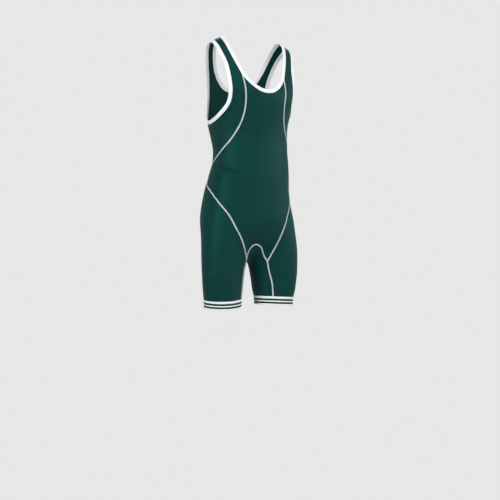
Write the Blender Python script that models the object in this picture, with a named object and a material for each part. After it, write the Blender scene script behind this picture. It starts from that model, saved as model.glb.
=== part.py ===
"""A wrestling singlet that keeps the form it has when worn, one closed solid for each piece a maker sews on.

Metres. +Z is up, +X is the wearer's left and the front faces -Y. The origin is midway between the two
shoulder straps, on the height of their highest points. Every piece lies on one smooth general figure,
which is given by short tables of sections, and is bounded by seam lines that its neighbours share.
"""

import math

import bmesh
import bpy
import numpy as np
from mathutils import Vector

NAME = "wrestling_singlet"

# Cloth and sewing sizes
PANEL_WALL = 0.0015
BINDING_WALL = 0.0024
HEM_WALL = 0.0021
BINDING_WIDTH = 0.012
HEM_BAND_DEPTH = 0.030
SEAM_GAP = 0.0003

# Counts of faces along each seam, so that pieces that meet have their corners side by side
FRONT_COLUMNS = 8
STRAP_FRONT_ROWS = 9
UPPER_SEAM_ROWS = 16
LOWER_SEAM_ROWS = 21
INSEAM_ROWS = 7
WAIST_COLUMNS = 18
BACK_UPPER_ROWS = 13
BACK_LOWER_ROWS = LOWER_SEAM_ROWS + INSEAM_ROWS - FRONT_COLUMNS - INSEAM_ROWS
STRAP_BACK_ROWS = 11
RING_ROWS = 6
GUSSET_COLUMNS = 6
BINDING_COLUMNS = 2
HEM_COLUMNS = 2

# The figure's trunk: half width, then how far the front and the back stand from the axis, then where the
# widest line lies between them, then how square the front and the back halves of the section are
TRUNK_COLUMNS = ("z", "half_width", "front", "back", "middle", "front_power", "back_power")
TRUNK = (
    (0.030, 0.232, 0.064, 0.080, 0.000, 2.2, 2.3),
    (-0.080, 0.228, 0.084, 0.094, 0.002, 2.2, 2.3),
    (-0.140, 0.200, 0.102, 0.104, 0.006, 2.3, 2.4),
    (-0.190, 0.172, 0.120, 0.112, 0.012, 2.3, 2.5),
    (-0.250, 0.154, 0.114, 0.118, 0.018, 2.3, 2.7),
    (-0.310, 0.1435, 0.103, 0.118, 0.022, 2.2, 2.8),
    (-0.355, 0.1385, 0.098, 0.110, 0.014, 2.2, 2.6),
    (-0.400, 0.1363, 0.098, 0.101, 0.004, 2.2, 2.4),
    (-0.455, 0.1423, 0.100, 0.103, 0.000, 2.2, 2.3),
    (-0.483, 0.1470, 0.101, 0.110, 0.005, 2.2, 2.3),
    (-0.541, 0.1550, 0.098, 0.130, 0.018, 2.2, 2.3),
    (-0.598, 0.1630, 0.095, 0.146, 0.024, 2.2, 2.3),
    (-0.655, 0.172, 0.094, 0.150, 0.022, 2.2, 2.3),
    (-0.850, 0.172, 0.094, 0.150, 0.020, 2.2, 2.3),
)
SHOULDER_START = -0.200
SHOULDER_RISE = 0.217
CROTCH_START = -0.600
CROTCH_FALL = 0.170
DOME_POWER = 2.3

# The figure's legs: where the middle of the thigh is, then its long and short half widths. The long one
# points LEG_TURN towards the front as it goes outwards
LEG_COLUMNS = ("z", "x", "y", "long", "short")
LEGS = (
    (-0.540, 0.070, 0.025, 0.045, 0.045),
    (-0.600, 0.076, 0.024, 0.064, 0.060),
    (-0.650, 0.084, 0.021, 0.080, 0.072),
    (-0.700, 0.090, 0.018, 0.089, 0.077),
    (-0.755, 0.0968, 0.016, 0.0915, 0.0748),
    (-0.805, 0.1022, 0.015, 0.0875, 0.0700),
    (-0.841, 0.1044, 0.014, 0.0843, 0.0670),
    (-0.870, 0.1050, 0.014, 0.0805, 0.0658),
    (-0.899, 0.1050, 0.014, 0.0765, 0.0645),
    (-0.927, 0.1050, 0.014, 0.0702, 0.0632),
    (-0.956, 0.1050, 0.014, 0.0682, 0.0625),
    (-0.990, 0.1050, 0.014, 0.0672, 0.0615),
)
LEG_TURN = math.radians(30.0)
LEG_POWER = 2.1
LEG_TOP = -0.52
BLEND = 0.013

# How the wearer stands: the left shoulder is the lower one
SHOULDER_TILT = 0.078
TILT_FROM = -0.46
TILT_TO = -0.16
# How far the trunk leans to the wearer's left at each height
SWAY_COLUMNS = ("z", "x")
SWAY = (
    (0.030, 0.0000),
    (-0.230, 0.0000),
    (-0.320, 0.0020),
    (-0.390, 0.0028),
    (-0.480, -0.0012),
    (-0.550, -0.0035),
    (-0.620, -0.0020),
    (-0.700, 0.0000),
    (-0.960, 0.0000),
)
# How each hem leans, on the left and on the right: its rise leftwards, its rise backwards, and its lift
LEFT_HEM_LEAN = (-0.082, -0.068, -0.0025)
RIGHT_HEM_LEAN = (0.022, 0.038, 0.0)
HEM_MIDDLE = (0.1050, 0.014)
HEM_LEAN_FROM = -0.80
HEM_LEAN_TO = -0.91

# Seam lines of the left half, as points near the figure: x, y, z
NECK_FRONT = (
    (0.128, 0.006, 0.004),
    (0.118, -0.030, -0.040),
    (0.107, -0.052, -0.077),
    (0.096, -0.070, -0.108),
    (0.0845, -0.0932, -0.1375),
)
NECK_BOTTOM = (
    (0.0845, -0.0932, -0.1375),
    (0.077, -0.0985, -0.148),
    (0.062, -0.109, -0.1655),
    (0.043, -0.117, -0.1805),
    (0.022, -0.1215, -0.1905),
    (0.000, -0.122, -0.1935),
)
NECK_BACK = (
    (0.128, 0.006, 0.004),
    (0.122, 0.036, -0.030),
    (0.113, 0.062, -0.070),
    (0.100, 0.084, -0.112),
    (0.078, 0.100, -0.152),
    (0.045, 0.109, -0.182),
    (0.000, 0.112, -0.192),
)
ARMHOLE_FRONT = (
    (0.157, 0.006, -0.006),
    (0.143, -0.022, -0.044),
    (0.134, -0.041, -0.077),
    (0.128, -0.061, -0.106),
    (0.126, -0.074, -0.134),
    (0.124, -0.084, -0.165),
    (0.123, -0.088, -0.190),
    (0.123, -0.084, -0.215),
    (0.124, -0.070, -0.242),
    (0.129, -0.050, -0.263),
    (0.135, -0.033, -0.277),
    (0.143, -0.009, -0.293),
    (0.146, 0.018, -0.304),
)
ARMHOLE_BACK = (
    (0.146, 0.018, -0.304),
    (0.144, 0.048, -0.309),
    (0.138, 0.076, -0.303),
    (0.129, 0.095, -0.280),
    (0.122, 0.103, -0.245),
    (0.119, 0.104, -0.200),
    (0.121, 0.096, -0.150),
    (0.130, 0.076, -0.100),
    (0.143, 0.044, -0.050),
    (0.157, 0.006, -0.006),
)
UPPER_SEAM = (
    (0.0845, -0.0932, -0.1375),
    (0.0815, -0.100, -0.167),
    (0.079, -0.106, -0.202),
    (0.0795, -0.100, -0.255),
    (0.0865, -0.088, -0.295),
    (0.102, -0.071, -0.335),
    (0.1225, -0.046, -0.374),
    (0.132, -0.028, -0.393),
    (0.139, -0.004, -0.418),
)
LOWER_SEAM = (
    (0.139, -0.004, -0.418),
    (0.136, 0.037, -0.453),
    (0.139, 0.052, -0.483),
    (0.1475, 0.047, -0.511),
    (0.155, 0.014, -0.533),
    (0.1515, -0.020, -0.559),
    (0.1425, -0.043, -0.583),
    (0.130, -0.058, -0.602),
    (0.1161, -0.0704, -0.626),
    (0.0993, -0.077, -0.665),
    (0.0834, -0.075, -0.7005),
    (0.0637, -0.0605, -0.748),
    (0.0475, -0.038, -0.794),
)
# The gusset's front edge, on the left half and as the left half's for the right one: its top stands a
# little to the wearer's right of the middle
LEFT_ARCH = (
    (-0.0144, -0.0652, -0.729),
    (0.0044, -0.0603, -0.736),
    (0.0199, -0.0491, -0.751),
    (0.0361, -0.0369, -0.7765),
    (0.0475, -0.038, -0.794),
)
RIGHT_ARCH = (
    (0.0144, -0.0652, -0.729),
    (0.0270, -0.0625, -0.7345),
    (0.0340, -0.0545, -0.7485),
    (0.0368, -0.0445, -0.7655),
    (0.0347, -0.0275, -0.7885),
)
FRONT_INSEAM = (
    (0.0475, -0.038, -0.794),
    (0.0568, -0.0373, -0.834),
    (0.0665, -0.0409, -0.876),
    (0.0711, -0.040, -0.925),
)
CENTRE_BACK_UPPER = (
    (0.000, 0.112, -0.192),
    (0.000, 0.118, -0.280),
    (0.000, 0.104, -0.380),
    (0.000, 0.100, -0.418),
)
CENTRE_BACK_LOWER = (
    (0.000, 0.100, -0.418),
    (0.000, 0.108, -0.480),
    (0.000, 0.146, -0.598),
    (0.000, 0.140, -0.680),
    (0.000, 0.096, -0.745),
)
BACK_INSEAM = (
    (0.000, 0.096, -0.745),
    (0.022, 0.090, -0.752),
    (0.044, 0.082, -0.785),
    (0.058, 0.076, -0.830),
    (0.067, 0.073, -0.880),
    (0.071, 0.071, -0.925),
)
WAIST_LINE = (
    (0.139, -0.004, -0.418),
    (0.130, 0.046, -0.420),
    (0.090, 0.082, -0.420),
    (0.045, 0.097, -0.419),
    (0.000, 0.100, -0.418),
)
HEM_LEVEL = -0.925
# The right leg is turned a little, which takes its front seam inwards: depth below the origin, distance
INWARD = np.array(
    (
        (0.48, 0.0),
        (0.56, -0.0035),
        (0.60, -0.006),
        (0.65, -0.005),
        (0.70, 0.002),
        (0.748, 0.008),
        (0.79, 0.020),
        (0.83, 0.0225),
        (0.925, 0.030),
    )
)
# How far round the armhole each corner of the panel's outer edge is joined to
ARMHOLE_SHARES = (0.0, 0.23, 0.42, 0.57, 0.69, 1.0)

FABRIC = {
    "panel": (0.008, 0.048, 0.042, 1.0),
    "gusset": (0.007, 0.042, 0.037, 1.0),
    "binding": (0.80, 0.82, 0.83, 1.0),
    "hem": (0.55, 0.58, 0.58, 1.0),
}


class Sections:
    """A table of sections by height, read between its rows without kinks."""

    def __init__(self, names, rows):
        table = np.array(sorted(rows))
        self.z = table[:, 0]
        self.values = dict(zip(names[1:], table[:, 1:].T))
        self.slopes = {name: np.gradient(v, self.z) for name, v in self.values.items()}

    def at(self, z):
        z = np.clip(z, self.z[0], self.z[-1])
        row = np.clip(np.searchsorted(self.z, z) - 1, 0, len(self.z) - 2)
        span = self.z[row + 1] - self.z[row]
        t = (z - self.z[row]) / span
        found = {}
        for name, v in self.values.items():
            slope = self.slopes[name]
            found[name] = (
                (1 + 2 * t) * (1 - t) ** 2 * v[row]
                + t * (1 - t) ** 2 * span * slope[row]
                + t * t * (3 - 2 * t) * v[row + 1]
                + t * t * (t - 1) * span * slope[row + 1]
            )
        return found


TRUNK_SECTIONS = Sections(TRUNK_COLUMNS, TRUNK)
LEG_SECTIONS = Sections(LEG_COLUMNS, LEGS)
SWAY_SECTIONS = Sections(SWAY_COLUMNS, SWAY)


def trunk_field(x, y, z):
    """About how far each point is outside the trunk."""
    s = TRUNK_SECTIONS.at(z)
    ahead = y < s["middle"]
    depth = np.where(ahead, s["front"] + s["middle"], s["back"] - s["middle"])
    power = np.where(ahead, s["front_power"], s["back_power"])
    off_axis = np.abs(x / s["half_width"]) ** power + np.abs((y - s["middle"]) / depth) ** power
    level = np.maximum(off_axis, 1e-9) ** (DOME_POWER / power)
    level = level + (np.maximum(z - SHOULDER_START, 0) / SHOULDER_RISE) ** DOME_POWER
    level = level + (np.maximum(CROTCH_START - z, 0) / CROTCH_FALL) ** DOME_POWER
    return 0.12 * (level ** (1 / DOME_POWER) - 1)


def leg_field(x, y, z):
    """About how far each point is outside the left leg."""
    s = LEG_SECTIONS.at(z)
    dx = x - s["x"]
    dy = y - s["y"]
    along = (dx * math.cos(LEG_TURN) - dy * math.sin(LEG_TURN)) / s["long"]
    across = (dx * math.sin(LEG_TURN) + dy * math.cos(LEG_TURN)) / s["short"]
    level = np.abs(along) ** LEG_POWER + np.abs(across) ** LEG_POWER
    level = np.maximum(level, 1e-9) ** (1 / LEG_POWER)
    return s["short"] * (level - 1) + np.maximum(z - LEG_TOP, 0)


def figure_field(points):
    """About how far each point is outside the figure, whose trunk and legs run smoothly together."""
    x, y, z = np.moveaxis(points, -1, 0)
    parts = np.stack([trunk_field(x, y, z), leg_field(x, y, z), leg_field(-x, y, z)])
    nearest = parts.min(0)
    return nearest - BLEND * np.log(np.exp(-(parts - nearest) / BLEND).sum(0))


def figure_slope(points):
    step = 1e-5
    slope = np.empty_like(points)
    for axis in range(3):
        shift = np.zeros(3)
        shift[axis] = step
        slope[..., axis] = (figure_field(points + shift) - figure_field(points - shift)) / (2 * step)
    return slope


def onto_figure(points, rounds=8):
    """Moves each point straight to the figure's surface."""
    points = np.array(points, float)
    for _ in range(rounds):
        slope = figure_slope(points)
        size = (slope**2).sum(-1, keepdims=True)
        move = figure_field(points)[..., None] * slope / size
        length = np.linalg.norm(move, axis=-1, keepdims=True)
        points -= move * np.minimum(1, 0.02 / np.maximum(length, 1e-12))
    return points


def outward(points):
    slope = figure_slope(points)
    return slope / np.linalg.norm(slope, axis=-1, keepdims=True)


def spaced(points, count):
    """count + 1 points evenly along a smooth line through the given ones."""
    points = np.array(points, float)
    length = np.concatenate([[0], np.cumsum(np.linalg.norm(np.diff(points, axis=0), axis=1))])
    slope = np.gradient(points, length, axis=0)
    t = np.linspace(0, length[-1], 40 * len(points))
    row = np.clip(np.searchsorted(length, t) - 1, 0, len(points) - 2)
    span = (length[row + 1] - length[row])[:, None]
    s = (t - length[row])[:, None] / span
    line = (
        (1 + 2 * s) * (1 - s) ** 2 * points[row]
        + s * (1 - s) ** 2 * span * slope[row]
        + s * s * (3 - 2 * s) * points[row + 1]
        + s * s * (s - 1) * span * slope[row + 1]
    )
    line = onto_figure(line)
    return evenly(line, np.linspace(0, 1, count + 1))


def evenly(line, shares):
    """The points at these shares of a line's length, on the figure."""
    length = np.concatenate([[0], np.cumsum(np.linalg.norm(np.diff(line, axis=0), axis=1))])
    at = np.asarray(shares) * length[-1]
    found = np.stack([np.interp(at, length, line[:, axis]) for axis in range(3)], 1)
    return onto_figure(found, 3)


def chained(*lines):
    """One line out of several that follow one another."""
    return np.concatenate([lines[0]] + [line[1:] for line in lines[1:]])


def about(points, axis_x, axis_y):
    """Angle, distance and height about an upright axis: the angle is 0 in front and grows leftwards."""
    dx = points[..., 0] - axis_x
    dy = points[..., 1] - axis_y
    return np.stack([np.arctan2(dx, -dy), np.hypot(dx, dy), points[..., 2]], -1)


def back_from(polar, axis_x, axis_y):
    angle, distance, z = np.moveaxis(polar, -1, 0)
    return np.stack([axis_x + distance * np.sin(angle), axis_y - distance * np.cos(angle), z], -1)


def filled(start, end, first, last, axis_x=None, axis_y=None, relax=60, bulge=None, level=False):
    """A grid of points on the figure between four lines.

    start and end are the first and last columns, first and last are the first and last rows. The rows
    are filled by angle about an upright axis where one is given, and along straight lines where not.
    """
    rows = len(start)
    columns = len(first)
    u = np.linspace(0, 1, columns)
    v = np.linspace(0, 1, rows)
    grid = np.empty((rows, columns, 3))
    if axis_x is None:
        grid[:] = start[:, None] * (1 - u)[None, :, None] + end[:, None] * u[None, :, None]
        if bulge is not None:
            grid += bulge[:, None] * (4 * u * (1 - u))[None, :, None]
    else:
        for i in range(rows):
            ends = about(np.stack([start[i], end[i]]), axis_x[i], axis_y[i])
            if ends[1, 0] < ends[0, 0]:
                ends[1, 0] += 2 * math.pi
            grid[i] = back_from(ends[0] + (ends[1] - ends[0]) * u[:, None], axis_x[i], axis_y[i])
    for row, line in ((0, first), (-1, last)):
        share = (1 - v if row == 0 else v) ** 3
        grid += share[:, None, None] * (line - grid[row])[None]
    grid[0], grid[-1], grid[:, 0], grid[:, -1] = first, last, start, end
    grid[1:-1, 1:-1] = onto_figure(grid[1:-1, 1:-1], 12)
    return relaxed(grid, relax, level)


def shares_of(line):
    length = np.concatenate([[0], np.cumsum(np.linalg.norm(np.diff(line, axis=0), axis=1))])
    return length / length[-1]


def relaxed(grid, rounds, level):
    """The grid with its inner points evened out on the figure. level spaces each column as its sides are."""
    start = shares_of(grid[:, 0])
    end = shares_of(grid[:, -1])
    across = np.linspace(0, 1, grid.shape[1])
    by_row = 1 / ((grid[2:, 1:-1] - grid[:-2, 1:-1]) ** 2).sum(-1, keepdims=True)
    by_column = 1 / ((grid[1:-1, 2:] - grid[1:-1, :-2]) ** 2).sum(-1, keepdims=True)
    by_row = by_row / (2 * (by_row + by_column))
    for turn in range(rounds):
        inner = (grid[:-2, 1:-1] + grid[2:, 1:-1]) * by_row
        inner += (grid[1:-1, :-2] + grid[1:-1, 2:]) * (0.5 - by_row)
        grid[1:-1, 1:-1] = onto_figure(inner, 3)
        if level and turn % 6 == 0:
            for column in range(1, grid.shape[1] - 1):
                share = start + (end - start) * across[column]
                grid[:, column] = evenly(grid[:, column], share)
    return grid


def mirrored(points):
    return points * np.array([-1.0, 1.0, 1.0])


def smoothstep(value, low, high):
    t = np.clip((value - low) / (high - low), 0, 1)
    return t * t * (3 - 2 * t)


def posed(points):
    """The points as the wearer stands: the trunk sways, the left shoulder is down and the hems lean."""
    points = points.copy()
    x, y, z = np.moveaxis(points, -1, 0).copy()
    points[..., 0] += SWAY_SECTIONS.at(z)["x"]
    points[..., 2] -= SHOULDER_TILT * x * smoothstep(z, TILT_FROM, TILT_TO)
    share = 1 - smoothstep(z, HEM_LEAN_TO, HEM_LEAN_FROM)
    leftwards, backwards, lift = (np.where(x > 0, a, b) for a, b in zip(LEFT_HEM_LEAN, RIGHT_HEM_LEAN))
    off = x - np.where(x > 0, HEM_MIDDLE[0], -HEM_MIDDLE[0])
    points[..., 2] += share * (leftwards * off + backwards * (y - HEM_MIDDLE[1]) + lift)
    return points


def inwards(points, share):
    """A seam of one leg moved towards the other leg by this share of INWARD."""
    points = np.array(points)
    points[:, 0] -= share * np.interp(-points[:, 2], INWARD[:, 0], INWARD[:, 1])
    return points


class Seams:
    """The seam lines of one half, as the left half's, each cut into its count of faces."""

    def __init__(self, share):
        self.neck_front = spaced(NECK_FRONT, STRAP_FRONT_ROWS)
        self.neck_bottom = spaced(NECK_BOTTOM, FRONT_COLUMNS)
        self.neck_back = spaced(NECK_BACK, STRAP_BACK_ROWS)
        self.upper = spaced(UPPER_SEAM, UPPER_SEAM_ROWS)
        self.lower = spaced(inwards(LOWER_SEAM, share), LOWER_SEAM_ROWS)
        self.arch = spaced(RIGHT_ARCH if share else LEFT_ARCH, FRONT_COLUMNS)
        self.inseam = self.to_hem(spaced(inwards(FRONT_INSEAM, share), INSEAM_ROWS))
        self.back_upper = spaced(CENTRE_BACK_UPPER, BACK_UPPER_ROWS)
        self.back_lower = spaced(CENTRE_BACK_LOWER, BACK_LOWER_ROWS)
        self.back_inseam = self.to_hem(spaced(BACK_INSEAM, FRONT_COLUMNS + INSEAM_ROWS))
        self.waist = spaced(WAIST_LINE, WAIST_COLUMNS)
        for line in (self.neck_bottom, self.neck_back, self.back_upper, self.back_lower):
            line[np.abs(line[:, 0]) < 1e-5, 0] = 0.0
        self.join()
        self.armhole = self.armhole_line()
        self.hem_outer = self.hem_arc(self.inseam[-1], self.back_inseam[-1], WAIST_COLUMNS, 1)
        self.hem_inner = self.hem_arc(self.back_inseam[-1], self.inseam[-1], GUSSET_COLUMNS, 1)

    @staticmethod
    def to_hem(line):
        line[-1, 2] = HEM_LEVEL
        return line

    def join(self):
        """Makes lines that meet share the same corner."""
        self.neck_back[0] = self.neck_front[0]
        self.neck_bottom[0] = self.neck_front[-1]
        self.upper[0] = self.neck_front[-1]
        self.lower[0] = self.upper[-1]
        self.waist[0] = self.upper[-1]
        self.waist[-1] = self.back_upper[-1]
        self.back_upper[0] = self.neck_back[-1]
        self.back_lower[0] = self.back_upper[-1]
        self.arch[-1] = self.lower[-1]
        self.inseam[0] = self.lower[-1]
        self.back_inseam[0] = self.back_lower[-1]

    def armhole_line(self):
        fine = chained(spaced(ARMHOLE_FRONT, 200), spaced(ARMHOLE_BACK, 200))
        counts = (
            STRAP_FRONT_ROWS,
            UPPER_SEAM_ROWS,
            WAIST_COLUMNS,
            BACK_UPPER_ROWS,
            STRAP_BACK_ROWS,
        )
        shares = [np.array([0.0])]
        for count, low, high in zip(counts, ARMHOLE_SHARES, ARMHOLE_SHARES[1:]):
            shares.append(np.linspace(low, high, count + 1)[1:])
        shares = np.concatenate(shares)
        for _ in range(12):
            shares[1:-1] = (shares[:-2] + 2 * shares[1:-1] + shares[2:]) / 4
        return evenly(fine, shares)

    @staticmethod
    def hem_arc(start, end, count, way):
        """A level line round the thigh from start to end, leftwards as seen from above the front."""
        middle = LEG_SECTIONS.at(np.array(HEM_LEVEL))
        ends = about(np.stack([start, end]), middle["x"], middle["y"])
        if ends[1, 0] < ends[0, 0]:
            ends[1, 0] += 2 * math.pi
        shares = np.linspace(0, 1, 12 * count + 1)[:, None]
        line = back_from(ends[0] + (ends[1] - ends[0]) * shares, middle["x"], middle["y"])
        line = onto_figure(line)
        line = evenly(line, np.linspace(0, 1, count + 1))
        line[0], line[-1] = start, end
        line[:, 2] = HEM_LEVEL
        return line[::way]


class Sheet:
    """Points and faces of one piece before it has a wall."""

    def __init__(self):
        self.points = []
        self.faces = []

    def add_grid(self, grid, reuse=None):
        """Adds a grid of quads. reuse gives the numbers of points that are there already, by (row, column)."""
        rows, columns = grid.shape[:2]
        numbers = np.empty((rows, columns), int)
        for i in range(rows):
            for j in range(columns):
                if reuse and (i, j) in reuse:
                    numbers[i, j] = reuse[i, j]
                else:
                    numbers[i, j] = len(self.points)
                    self.points.append(grid[i, j])
        for i in range(rows - 1):
            for j in range(columns - 1):
                self.faces.append(
                    (numbers[i, j], numbers[i + 1, j], numbers[i + 1, j + 1], numbers[i, j + 1])
                )
        return numbers

    def mirror(self):
        other = Sheet()
        other.points = [mirrored(p) for p in self.points]
        other.faces = [face[::-1] for face in self.faces]
        return other


def inset(mesh, distance):
    """Draws the open edges of a sheet back by this much, within the sheet."""
    moves = {}
    for edge in mesh.edges:
        if len(edge.link_faces) != 1:
            continue
        face = edge.link_faces[0]
        along = (edge.verts[1].co - edge.verts[0].co).normalized()
        inward = face.calc_center_median() - edge.verts[0].co
        inward = (inward - along * inward.dot(along)).normalized()
        for vertex in edge.verts:
            moves.setdefault(vertex, []).append(inward)
    for vertex, ways in moves.items():
        total = ways[0].copy()
        for way in ways[1:]:
            total += way
        total.normalize()
        vertex.co += total * distance / max(total.dot(ways[0]), 0.2)


def thicken(mesh, normals, wall):
    """Gives an open sheet its wall, straight out from the figure, so that walls that meet stand side by side."""
    inner = list(mesh.verts)
    outer = [mesh.verts.new(v.co + Vector(n) * wall) for v, n in zip(inner, normals)]
    above = dict(zip(inner, outer))
    rim = [edge.link_loops[0] for edge in mesh.edges if len(edge.link_faces) == 1]
    edges = [(loop.vert, loop.link_loop_next.vert) for loop in rim]
    faces = list(mesh.faces)
    for face in faces:
        mesh.faces.new([above[v] for v in face.verts])
    for start, end in edges:
        mesh.faces.new((start, end, above[end], above[start]))
    bmesh.ops.reverse_faces(mesh, faces=faces)


def make_piece(name, sheet, wall, finish, collection):
    """One named object: the sheet in its pose, turned outwards, with its wall on the outside."""
    mesh = bmesh.new()
    flat = posed(np.array(sheet.points))
    vertices = [mesh.verts.new(p) for p in flat]
    for face in sheet.faces:
        mesh.faces.new([vertices[n] for n in face])
    normals = outward(np.array(sheet.points))
    mesh.normal_update()
    facing = sum(v.normal.dot(n) for v, n in zip(vertices, map(tuple, normals)))
    if facing < 0:
        bmesh.ops.reverse_faces(mesh, faces=mesh.faces)
    inset(mesh, SEAM_GAP / 2)
    thicken(mesh, normals, wall)
    data = bpy.data.meshes.new(name)
    mesh.to_mesh(data)
    mesh.free()
    for polygon in data.polygons:
        polygon.use_smooth = True
    piece = bpy.data.objects.new(name, data)
    collection.objects.link(piece)
    data.materials.append(make_material(name, finish))
    return piece


def make_material(name, finish):
    material = bpy.data.materials.new(name)
    material.use_nodes = True
    shader = material.node_tree.nodes["Principled BSDF"]
    shader.inputs["Base Color"].default_value = FABRIC[finish]
    shader.inputs["Roughness"].default_value = 0.6
    material.diffuse_color = FABRIC[finish]
    return material


def front_half(seams):
    """The front from the middle line to the side seam."""
    side = chained(seams.upper, seams.lower)
    rows = len(side)
    middle_top = seams.neck_bottom[-1]
    middle_bottom = seams.arch[0]
    shares = np.linspace(0, 1, 80)[:, None]
    middle = middle_top * (1 - shares) + middle_bottom * shares
    middle[:, 0] = middle_bottom[0] * shares[:, 0] ** 2
    middle[:, 1] = -0.13
    middle = evenly(onto_figure(middle, 12), np.linspace(0, 1, rows))
    middle[0], middle[-1] = middle_top, middle_bottom
    axis_x = np.zeros(rows)
    axis_y = np.full(rows, 0.010)
    return filled(
        middle, side, seams.neck_bottom[::-1], seams.arch, axis_x=axis_x, axis_y=axis_y, relax=12
    )


def front_sheet(left, right):
    sheet = Sheet()
    sheet.add_grid(np.concatenate([mirrored(front_half(right))[:, :0:-1], front_half(left)], 1))
    return sheet


def body_sheet(seams):
    """Strap, side, half of the back, seat and leg: a ring round the armhole, then all below the waist."""
    outer = chained(
        seams.neck_front, seams.upper, seams.waist, seams.back_upper[::-1], seams.neck_back[::-1]
    )
    ends = np.linspace(0, 1, RING_ROWS + 1)
    front_end = evenly(
        onto_figure(seams.armhole[0] + (outer[0] - seams.armhole[0]) * ends[:, None]), ends
    )
    front_end[0], front_end[-1] = seams.armhole[0], outer[0]
    ring = filled(outer, seams.armhole, front_end[::-1], front_end[::-1], relax=30)
    sheet = Sheet()
    numbers = sheet.add_grid(ring)
    low = STRAP_FRONT_ROWS + UPPER_SEAM_ROWS
    left = chained(seams.lower, seams.inseam)
    right = chained(seams.back_lower, seams.back_inseam)
    rows = len(left)
    shares = np.linspace(0, 1, rows)
    axis_x = 0.103 * np.clip((-0.50 - (left[:, 2] + right[:, 2]) / 2) / 0.30, 0, 1) ** 1.5
    axis_y = 0.010 + 0.010 * shares
    block = filled(left, right, seams.waist, seams.hem_outer, axis_x=axis_x, axis_y=axis_y, relax=40)
    reuse = {(0, j): numbers[low + j, 0] for j in range(WAIST_COLUMNS + 1)}
    sheet.add_grid(block, reuse)
    return sheet


def gusset_half(seams):
    """The inner thigh from the middle of the crotch to the hem."""
    front = chained(seams.arch, seams.inseam)
    back = seams.back_inseam
    rows = len(front)
    shares = np.linspace(0, 1, rows)[:, None]
    bulge = np.array([0.0, 0.0, -0.065]) * (1 - shares) ** 2 + np.array([-0.03, 0.0, 0.0]) * shares
    first_guess = front[0] + (back[0] - front[0]) * np.linspace(0, 1, GUSSET_COLUMNS * 12 + 1)[:, None]
    dip = 4 * np.linspace(0, 1, GUSSET_COLUMNS * 12 + 1) * np.linspace(1, 0, GUSSET_COLUMNS * 12 + 1)
    first_guess[:, 2] -= 0.065 * dip
    first = evenly(onto_figure(first_guess, 12), np.linspace(0, 1, GUSSET_COLUMNS + 1))
    first[0], first[-1] = front[0], back[0]
    return filled(front, back, first, seams.hem_inner[::-1], bulge=bulge, relax=60, level=True)


def gusset_sheet(left, right):
    sheet = Sheet()
    sheet.add_grid(np.concatenate([mirrored(gusset_half(right))[:0:-1], gusset_half(left)], 0))
    return sheet


def strip_beside(line, width, columns, inside):
    """A closed strip on the figure beside a closed line, on the side of the point inside."""
    following = np.roll(line, -1, 0) - np.roll(line, 1, 0)
    along = following / np.linalg.norm(following, axis=1, keepdims=True)
    across = np.cross(along, outward(line))
    across /= np.linalg.norm(across, axis=1, keepdims=True)
    if ((inside - line) * across).sum() < 0:
        across = -across
    grid = [line]
    for column in range(columns):
        step = width / columns
        grid.append(onto_figure(grid[-1] + across * step, 3))
    return np.stack(grid, 1)


def ring_sheet(grid):
    """A sheet out of a grid whose rows run once round."""
    sheet = Sheet()
    rows, columns = grid.shape[:2]
    sheet.points = list(grid.reshape(-1, 3))
    for i in range(rows):
        for j in range(columns - 1):
            after = (i + 1) % rows
            sheet.faces.append(
                (i * columns + j, after * columns + j, after * columns + j + 1, i * columns + j + 1)
            )
    return sheet


def neck_line(seams):
    half = chained(seams.neck_bottom[::-1], seams.neck_front[::-1], seams.neck_back)
    return np.concatenate([half, mirrored(half)[-2:0:-1]])


def hem_sheet(seams):
    line = np.concatenate([seams.hem_outer, seams.hem_inner[1:-1]])
    rows = []
    for depth in np.linspace(0, HEM_BAND_DEPTH, HEM_COLUMNS + 1):
        level = line.copy()
        level[:, 2] -= depth
        level = onto_figure(level, 4)
        level[:, 2] = line[:, 2] - depth
        rows.append(level)
    return ring_sheet(np.stack(rows, 1))


def main():
    for old in list(bpy.data.objects):
        bpy.data.objects.remove(old)
    collection = bpy.data.collections.new(NAME)
    bpy.context.scene.collection.children.link(collection)
    left = Seams(0.0)
    right = Seams(1.0)
    make_piece("front_panel", front_sheet(left, right), PANEL_WALL, "panel", collection)
    make_piece("left_body_panel", body_sheet(left), PANEL_WALL, "panel", collection)
    make_piece("right_body_panel", body_sheet(right).mirror(), PANEL_WALL, "panel", collection)
    make_piece("gusset", gusset_sheet(left, right), PANEL_WALL, "gusset", collection)
    neck = strip_beside(
        neck_line(left), BINDING_WIDTH, BINDING_COLUMNS, np.array([0.0, 0.0, -0.05])
    )
    make_piece("neck_binding", ring_sheet(neck), BINDING_WALL, "binding", collection)
    armhole = strip_beside(
        left.armhole[:-1], BINDING_WIDTH, BINDING_COLUMNS, np.array([0.20, 0.0, -0.16])
    )
    binding = ring_sheet(armhole)
    make_piece("left_armhole_binding", binding, BINDING_WALL, "binding", collection)
    make_piece("right_armhole_binding", binding.mirror(), BINDING_WALL, "binding", collection)
    make_piece("left_hem_band", hem_sheet(left), HEM_WALL, "hem", collection)
    make_piece("right_hem_band", hem_sheet(right).mirror(), HEM_WALL, "hem", collection)


if __name__ == "__main__":
    main()
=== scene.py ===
"""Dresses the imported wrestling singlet: stretch-knit panels, elastic bindings, hem bands and their sewing.

Metres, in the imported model's own frame: +Z is up, +X is the wearer's left and the front faces -Y. Each
piece of cloth is a thin closed shell on one smooth general figure. It is bounded by the seam lines that
it shares with its neighbours, and it carries the main creases as soft troughs and ridges.
"""

from __future__ import annotations

import logging
import math
import sys
from dataclasses import dataclass, field, replace
from enum import Enum
from functools import cached_property
from typing import Any, Callable, ClassVar, Iterable, Sequence

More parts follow.
